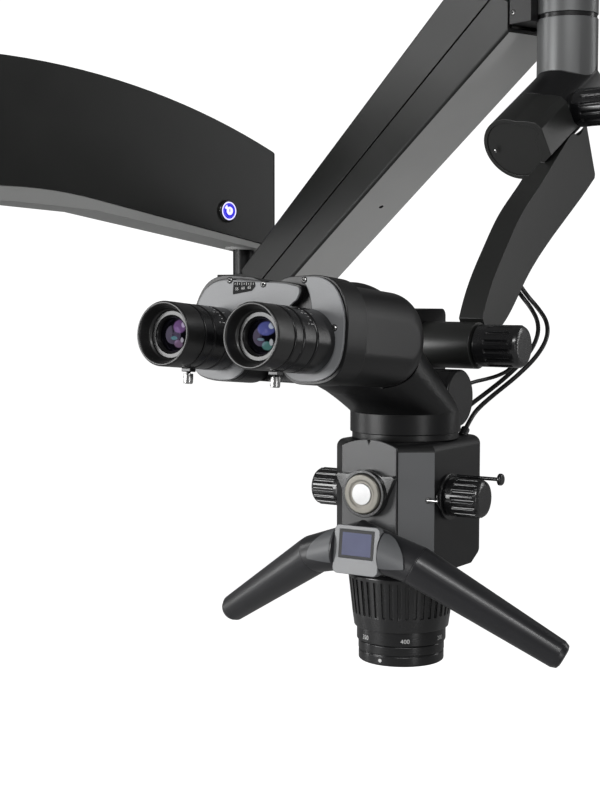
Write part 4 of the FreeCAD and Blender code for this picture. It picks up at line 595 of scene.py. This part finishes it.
def painted_light_side(node, direction, spread, lift, finish):
    """A thin, lighter skin of painted light over the faces of a solid that look within spread degrees of a
    direction.
    """
    solid = frame["nodes"][node]
    work = bmesh.new()
    work.from_mesh(solid.data)
    bmesh.ops.transform(work, matrix=solid.matrix_world, verts=work.verts)
    bmesh.ops.remove_doubles(work, verts=work.verts, dist=WELD)
    limit = math.cos(math.radians(spread))
    others = [face for face in work.faces if face.normal.dot(Vector(direction)) < limit]
    bmesh.ops.delete(work, geom=others, context="FACES")
    bmesh.ops.translate(work, verts=work.verts, vec=Vector(direction) * mm(lift))
    mesh = bpy.data.meshes.new(node + "_painted_light_skin")
    work.to_mesh(mesh)
    work.free()
    print(node, "painted faces", len(mesh.polygons))
    add_piece(node + "_painted_light_skin", mesh, body_of[node], finish)


# Painted light on the lit faces: the body's cut corner in the inlays' grey, and the lower cover's underside
painted_light_side("body_shell", (0.7608, -0.649, 0), 4, 0.12, "inlay_grey")
painted_light_side("arm_lower_cover", (0.5293, -0.1875, -0.8275), 8, 0.25, "cover_painted_light")

# %% [markdown]
# Many small parts are turned: screws, retaining rings, the button's light. One helper spins an outline of
# radius and height round any axis. The outlines have small flats at their corners, which catch the light.

# %% Turn a small part


def spun(name, outline, frame_of, body, finish, steps=48, start=0.0, sweep=2 * math.pi):
    """A closed outline of (radius, height) in millimetres, spun round the z axis of frame_of."""
    whole = sweep > 2 * math.pi - 0.001
    work = bmesh.new()
    rings = []
    for step in range(steps if whole else steps + 1):
        angle = start + sweep * step / steps
        ring = []
        for radius, height in outline:
            place = frame_of @ Vector((radius * math.cos(angle), radius * math.sin(angle), height))
            ring.append(work.verts.new(place))
        rings.append(ring)
    for step in range(steps):
        here, there = rings[step], rings[(step + 1) % len(rings)]
        for index in range(len(outline)):
            other = (index + 1) % len(outline)
            work.faces.new((here[index], there[index], there[other], here[other]))
    if not whole:
        work.faces.new(rings[0])
        work.faces.new(rings[-1])
    bmesh.ops.remove_doubles(work, verts=work.verts, dist=mm(0.001))
    bmesh.ops.recalc_face_normals(work, faces=work.faces)
    for face in work.faces:
        face.smooth = True
    mesh = bpy.data.meshes.new(name)
    work.to_mesh(mesh)
    work.free()
    mesh.set_sharp_from_angle(angle=math.radians(30))
    return add_piece(name, mesh, body, finish)


def pointing(place, direction):
    """A frame in millimetres at a place, with its z axis along a direction."""
    turn = Vector(direction).to_track_quat("Z", "Y").to_matrix().to_4x4()
    return Matrix.Translation(place) @ turn @ Matrix.Diagonal((0.001, 0.001, 0.001, 1))


# %% [markdown]
# Small screws hold the cover plates. Each one is a bright ring of steel round a hexagon socket, in a sunk
# seat.
# The shade in the socket and in the seat's gap is painted: a black hexagon and a black ring. A disc that is
# spun in only six steps is a hexagon, so the socket needs no other tool.

# %% Socket screws


def screw(name, place, direction, body, size=1.6):
    """A bright button screw, with painted shade: a black hexagon in its socket and a black ring round its
    seat.
    """
    seat = pointing(place, direction)
    # Painted shade: a thin black ring where the gap of the sunk seat lies in shade
    ring = [(size * 1.02, 0.02), (size * 1.4, 0.02), (size * 1.36, 0.16), (size * 1.06, 0.1)]
    spun(name + "_sink_shade", ring, seat, body, "window_black", 32)
    head = [(0, 0), (size, 0), (size, 0.35), (size * 0.8, 0.62), (size * 0.66, 0.68), (size * 0.62, 0.3),
            (0, 0.3)]
    spun(name, head, seat, body, "steel", 36)
    # Painted shade: a black hexagon where the socket's hole lies in shade
    socket = [(0, 0.1), (size * 0.6, 0.1), (size * 0.6, 0.42), (0, 0.42)]
    spun(name + "_socket", socket, seat, body, "window_black", 6)


plate_screws = [("left_tube", (-27, 38.5, 7)), ("left_tube", (-0.3, 36, 7)), ("right_tube", (27.4, 39, 2)),
                ("right_tube", (51.6, 9, 2))]
for index, (body, place) in enumerate(plate_screws):
    screw("plate_screw_%d" % index, eye_frame @ Vector(place), eye_axis, body)
print("plate screws", len(plate_screws))

# %% [markdown]
# Figures and marks on a ring follow its curve. A text object gives the letters flat, and each of their points
# is then carried on to the ring: sideways becomes angle, up stays height, and the face stands a hair proud.
# Only plain scale figures are drawn here.

# %% Marks that wrap round a ring


def wrapped(name, mesh, seat, radius, angle, height, body):
    """Bends a flat mesh, in millimetres, round the z axis of seat."""
    for vertex in mesh.vertices:
        turn = angle + vertex.co.x / radius
        out = radius + 0.04 + vertex.co.z
        vertex.co = seat @ Vector((out * math.cos(turn), out * math.sin(turn), height + vertex.co.y))
    return add_piece(name, mesh, body, "engraving_white")


def figure(text, size):
    """The flat outline of a figure, centred, in millimetres."""
    curve = bpy.data.curves.new("figure_" + text, "FONT")
    curve.body = text
    curve.size = size
    curve.align_x = "CENTER"
    curve.align_y = "CENTER"
    curve.resolution_u = 3
    holder = bpy.data.objects.new("figure_" + text, curve)
    mesh = bpy.data.meshes.new_from_object(holder)
    bpy.data.objects.remove(holder)
    return mesh


def stroke(wide, tall):
    """A flat rectangle in small steps, so that it bends with the ring."""
    mesh = bpy.data.meshes.new("stroke")
    columns = 6
    points = []
    for row in (-0.5, 0.5):
        for column in range(columns + 1):
            points.append((wide * (column / columns - 0.5), tall * row, 0))
    faces = [(k, k + 1, k + columns + 2, k + columns + 1) for k in range(columns)]
    mesh.from_pydata(points, [], faces)
    return mesh


# The figure 400 faces the camera, which stands this far round the lens
CAMERA_ROUND = 33.2
lens_seat = pointing(spot(0, 0, 0), (0, 0, 1))
facing = math.radians(-90 + CAMERA_ROUND)
turn_of_seat = math.atan2(lens_seat[1][0], lens_seat[0][0])
scale_figures = [("400", 0.02), ("350", -0.98), ("300", -1.9), ("250", -2.7), ("200", 0.96), ("225", 1.9)]
for text, offset in scale_figures:
    angle = facing - turn_of_seat + offset
    wrapped("distance_" + text, figure(text, 4.6), lens_seat, 33.5, angle, 19.4, "focus")
print("distance figures", len(scale_figures))

# %% [markdown]
# A white dot on the fixed ring below is the index that the figures are read against. It is a filled drill
# mark, so it is round and very slightly sunk at its rim.

# %% Index dot
dot_turn = facing - math.radians(33)
dot_place = spot(32.1 * math.cos(dot_turn), 32.1 * math.sin(dot_turn), 3.9)
dot_out = Vector((math.cos(dot_turn), math.sin(dot_turn), 0))
dot_profile = [(0, -0.2), (1.35, -0.2), (1.35, 0.05), (1.15, 0.12), (0, 0.16)]
spun("index_dot", dot_profile, pointing(dot_place, dot_out), "head", "engraving_white", 32)

# %% [markdown]
# Each dioptre ring has a short scale in its flank, 5 0 5 with strokes between, and a line on the fixed sleeve
# to read it against. Below it sits a knurled clamp screw, bright nickel with fine straight teeth.

# %% Dioptre scales and clamp screws
CLAMP_TEETH = 56
for side, name in SIDES:
    seat = eye_frame @ Matrix.Translation((EYE_OFFSET * side, 0, 0))
    body = name + "_dioptre"
    top = math.radians(52)
    for text, offset in (("5", 0.42), ("0", 0.0), ("5", -0.42)):
        mesh = figure(text, 2.6)
        mesh.transform(Matrix.Rotation(math.pi, 4, "Z"))
        label = "dioptre_%s_%s_%d" % (name, text, round(offset * 100))
        wrapped(label, mesh, seat, 20.6, top + offset, 31.5, body)
    for step in range(-3, 4):
        mark = stroke(0.42, 2.6 if step % 3 == 0 else 1.7)
        label = "dioptre_stroke_%s_%d" % (name, step)
        wrapped(label, mark, seat, 20.6, top + step * 0.14, 27.6, body)
    wrapped("sleeve_line_" + name, stroke(0.42, 2.4), seat, 20.7, top, 21.2, name + "_tube")
    clamp_seat = pointing(seat @ Vector((0, -23.8, 38)), -eye_up)
    clamp = [(0, 0), (3.0, 0), (3.15, 0.5), (3.15, 5.3), (2.8, 6.4), (2.1, 6.6), (0, 6.6)]
    knurled = spun("clamp_screw_" + name, clamp, clamp_seat, body, "steel", CLAMP_TEETH)
    for vertex in knurled.data.vertices:
        local = clamp_seat.inverted() @ vertex.co
        if math.hypot(local.x, local.y) > 2.9:
            tooth = round(math.atan2(local.y, local.x) / (2 * math.pi / CLAMP_TEETH)) % 2
            shrink = 1 - 0.07 * tooth
            vertex.co = clamp_seat @ Vector((local.x * shrink, local.y * shrink, local.z))
print("dioptre rings dressed")

# %% [markdown]
# Inside each eyecup a retaining ring holds the lens. Its lip is bare metal and shows as a thin bright circle.

# %% Retaining rings
for side, name in SIDES:
    seat = eye_frame @ Matrix.Translation((EYE_OFFSET * side, 0, 0))
    ring = [(11.9, 54.2), (11.9, 57.2), (11.65, 57.5), (11.4, 57.2), (10.7, 55.4), (10.7, 54.2)]
    spun("retaining_ring_" + name, ring, seat, name + "_tube", "dark_steel", 72)

# %% [markdown]
# The disc in the middle of the winged ring is satin aluminium, with a paler boss in its centre, which we
# leave plain. Turned faces show as soft rays, which the ring grain gives.

# %% Centre boss of the front disc
boss_frame = pointing(spot(0, -58.85, 131), (0, -1, 0))
boss = [(0, 0.0), (7.9, 0.0), (7.9, 0.35), (7.5, 0.6), (0, 0.66)]
spun("front_disc_boss", boss, boss_frame, "head", "pale_disc", 72)

# %% [markdown]
# The power button glows. A pale ring of light runs round its edge, and its face shows a broken blue circle
# with a short bar in the middle, the common sign for power.

# %% Power button light
out_of_arm = Vector((0.9682, -0.2501, 0))
button = pointing(spot(-437, 381, 362), out_of_arm)
button_up = button.inverted().to_3x3() @ Vector((0, 0, 1))
gap_turn = math.atan2(button_up.y, button_up.x) + math.radians(50)
sign_sweep = math.radians(322)
edge_light = [(8.65, 3.0), (10.1, 3.0), (9.9, 3.35), (8.8, 3.35)]
face_light = [(0, 4.0), (7.55, 4.0), (7.45, 4.16), (0, 4.18)]
broken_ring = [(4.5, 4.1), (7.5, 4.1), (7.35, 4.32), (4.65, 4.32)]
ring_start = gap_turn + (2 * math.pi - sign_sweep) / 2
spun("button_edge_light", edge_light, button, "main_arm", "button_glow", 64)
spun("button_face_light", face_light, button, "power_button", "button_glow", 56)
spun("button_broken_ring", broken_ring, button, "power_button", "button_blue", 56, ring_start,
     sign_sweep)
bar_build = bmesh.new()
bmesh.ops.create_cube(bar_build, size=1, matrix=Matrix.Diagonal((0.9, 3.2, 0.3, 1)))
bar_turn = Matrix.Rotation(math.atan2(button_up.y, button_up.x) - math.pi / 2, 4, "Z")
bar_seat = button @ bar_turn @ Matrix.Translation((0, 0.4, 4.2))
bmesh.ops.transform(bar_build, matrix=bar_seat, verts=bar_build.verts)
bar_mesh = bpy.data.meshes.new("button_bar")
bar_build.to_mesh(bar_mesh)
bar_build.free()
add_piece("button_bar", bar_mesh, "power_button", "dark_steel")

# %% [markdown]
# A small bright pin stands on the right flank of the body, at the tip of the knob's flange. It is the index
# for the magnification steps. It sits in a drilled hole with a dark rim.

# %% Index pin on the flank
pin_rim = pointing(spot(38.4, -29.5, 126), Vector((0.76, -0.65, 0)))
pin_seat = pointing(spot(37.6, -29.9, 126), Vector((1, 0, 0)))
pin = [(0, 0), (1.0, 0), (1.0, 8.4), (0.7, 8.9), (0, 9.0)]
rim = [(1.2, -0.5), (2.5, -0.5), (2.4, 0.45), (1.4, 0.5)]
spun("index_pin", pin, pin_seat, "head", "steel", 32)
spun("index_pin_rim", rim, pin_rim, "head", "barrel_black", 32)

# %% [markdown]
# On both sides of the screen the winged ring carries an inlay: a thin grey skin let into the plastic, whose
# rounded edge draws a bright line. Its outline is laid flat first, cut into small squares, and then each
# corner is pushed back on to the curved solid, so that the skin follows it at the same height everywhere.

# %% Inlays beside the screen
INLAY_START = -90
INLAY_PROUD = mm(0.35)
INLAY_THICK = mm(0.6)
hub_solid = frame["nodes"]["handle_hub"]
hub_places = [hub_solid.matrix_world @ vertex.co for vertex in hub_solid.data.vertices]
hub_tree = BVHTree.FromPolygons(hub_places, [tuple(face.vertices) for face in hub_solid.data.polygons])
inlay_outline = [(20.2, 104.2), (23, 103.6), (26, 102.4), (29.5, 100.6), (32.3, 98.5), (35.6, 95.4),
                 (38.3, 91.8), (40.0, 87.5), (40.6, 82.8), (39.8, 81.9), (31, 81.2), (20.2, 80.8)]
for side, name in SIDES:
    work = bmesh.new()
    work.faces.new([work.verts.new((x * side, INLAY_START, z)) for x, z in inlay_outline])
    for axis, first, last in ((0, 21, 41), (2, 82, 105)):
        normal = Vector((0, 0, 0))
        normal[axis] = 1
        for cut in range(first, last, 2):
            middle_cut = normal * (cut * side if axis == 0 else cut)
            everything = list(work.verts) + list(work.edges) + list(work.faces)
            bmesh.ops.bisect_plane(work, geom=everything, plane_co=middle_cut, plane_no=normal)
    missed = []
    for vertex in work.verts:
        seen_at, facing_out = hub_tree.ray_cast(spot(*vertex.co), Vector((0, 1, 0)))[:2]
        if seen_at is None:
            missed.append(vertex)
        else:
            vertex.co = seen_at + facing_out * INLAY_PROUD
    bmesh.ops.delete(work, geom=missed, context="VERTS")
    bmesh.ops.recalc_face_normals(work, faces=work.faces)
    bmesh.ops.solidify(work, geom=list(work.faces), thickness=INLAY_THICK)
    for face in work.faces:
        face.smooth = True
    mesh = bpy.data.meshes.new("inlay_" + name)
    work.to_mesh(mesh)
    work.free()
    mesh.set_sharp_from_angle(angle=math.radians(50))
    add_piece("inlay_" + name, mesh, body_of["handle_hub"], "inlay_grey")
    print("inlay", name, "corners missed", len(missed))

# %% [markdown]
# The left cover plate has a small window in its upper edge, with a scale of the distance between the eyes. It
# is a dark skin with white marks, and the plain figures 55, 60 and 65.

# %% Eye distance scale
WINDOW_HEIGHT = 7.12
MARK_HEIGHT = 7.18
window = [(-24, 37.6), (-24, 29.2), (-9, 31.6), (-6.4, 34.6), (-7, 37.4)]
window_build = bmesh.new()
window_build.faces.new([window_build.verts.new((x, y, WINDOW_HEIGHT)) for x, y in window])
bmesh.ops.transform(window_build, matrix=eye_frame, verts=window_build.verts)
window_mesh = bpy.data.meshes.new("eye_scale_window")
window_build.to_mesh(window_mesh)
window_build.free()
add_piece("eye_scale_window", window_mesh, "left_tube", "window_black")
for index in range(9):
    mark = stroke(0.35, 1.9 if index % 2 else 1.2)
    mark.transform(eye_frame @ Matrix.Translation((-22.6 + index * 1.8, 36.2, MARK_HEIGHT)))
    add_piece("eye_scale_mark_%d" % index, mark, "left_tube", "engraving_white")
for index, text in enumerate(("55", "60", "65")):
    mark = figure(text, 2.7)
    mark.transform(eye_frame @ Matrix.Translation((-21.0 + index * 4.9, 32.8 + index * 0.5, MARK_HEIGHT)))
    add_piece("eye_scale_" + text, mark, "left_tube", "engraving_white")
print("eye distance scale", len(window))

# %% [markdown]
# A black ring fills the joint between the fixed and the turning half of the spindle. The end of the leaning
# joint carries a small screw, and so does the end of the spring arm.

# %% Joint ring and end screws
joint_ring = [(23.9, 512.15), (25.6, 512.15), (25.6, 515.6), (23.9, 515.6)]
tube_seat = pointing(spot(*SPINDLE_AXIS, 0), (0, 0, 1))
spun("spindle_joint_ring", joint_ring, tube_seat, "spindle", "barrel_black", 72)
end_face = Vector(JOINT_AXIS)
screw("oblique_end_screw", spot(-19.7, 194.6, 394.6) + end_face * mm(0.3), end_face, body_of["bent_arm"], 1.5)
screw("arm_end_screw", spot(-31.5, 251.1, 520.0), Vector((-0.3338, -0.9426, 0)), body_of["end_block"], 2.0)

# %% [markdown]
# The studio is white all round. For black paint that is too much light, so only the camera sees the floor and
# the sky as white. The parts are lit by a much dimmer room and by soft boxes. Gloss shows a light only where
# it mirrors it, so the boxes stand where flat faces mirror the camera's line of sight: the cover plates and
# the front panel look to the front left, the cut corner of the body to the front right. Narrow boxes at both
# sides and above draw the long bright lines on round parts.

# %% Floor
FLOOR_BELOW = 0.35
FLOOR_HALF = 14
floor_mesh = bpy.data.meshes.new("studio_floor")
floor_build = bmesh.new()
floor_level = solid_box[0][2] - FLOOR_BELOW
for x, y in ((-1, -1), (1, -1), (1, 1), (-1, 1)):
    floor_build.verts.new((x * FLOOR_HALF, y * FLOOR_HALF, floor_level))
floor_build.faces.new(floor_build.verts)
floor_build.to_mesh(floor_mesh)
floor_build.free()
floor = bpy.data.objects.new("studio_floor", floor_mesh)
bpy.context.scene.collection.objects.link(floor)
pale, place, plug = new_finish("studio_white", {"Emission Strength": 1.0})
seen = place.node("ShaderNodeLightPath", output=0)
plug(Base_Color=seen.blend_colours((0.25, 0.25, 0.25), (0.6, 0.6, 0.6)),
     Emission_Color=seen.blend_colours((0.12, 0.12, 0.12), (0.95, 0.95, 0.95)))
floor_mesh.materials.append(pale)

# %% Studio light
ROOM_LIGHT = 0.13
ROOM_SEEN = 0.97
MIDDLE = (0, 0, 200)
world = bpy.data.worlds.new("studio")
bpy.context.scene.world = world
world.use_nodes = True
sky = Wire(world.node_tree)
seen = sky.node("ShaderNodeLightPath", output=0)
strength = ROOM_LIGHT + seen * ROOM_SEEN
background = world.node_tree.nodes["Background"]
background.inputs["Color"].default_value = (1, 1, 1, 1)
world.node_tree.links.new(strength.socket, background.inputs["Strength"])


def soft_box(name, offset, size, power):
    """A rectangular lamp at an offset in metres from the middle of the part, turned towards it."""
    light = bpy.data.lights.new(name, "AREA")
    light.shape = "RECTANGLE"
    light.size, light.size_y = size
    light.energy = power
    box = bpy.data.objects.new(name, light)
    bpy.context.scene.collection.objects.link(box)
    box.location = spot(*MIDDLE) + Vector(offset)
    box.rotation_euler = (-Vector(offset)).to_track_quat("-Z", "Y").to_euler()


soft_box("front_left", (-1.25, -1.8, 0.15), (0.9, 0.8), 29)
soft_box("front_right", (2.0, -0.9, -0.1), (0.35, 0.8), 5.5)
soft_box("edge_left", (-2.0, -0.6, 0.3), (0.3, 1.8), 12)
soft_box("edge_back", (1.2, 1.5, 0.6), (0.25, 1.6), 6)
soft_box("above_camera", (1.1, -1.5, 1.2), (1.3, 0.2), 19)
bpy.context.scene.view_settings.view_transform = "Standard"
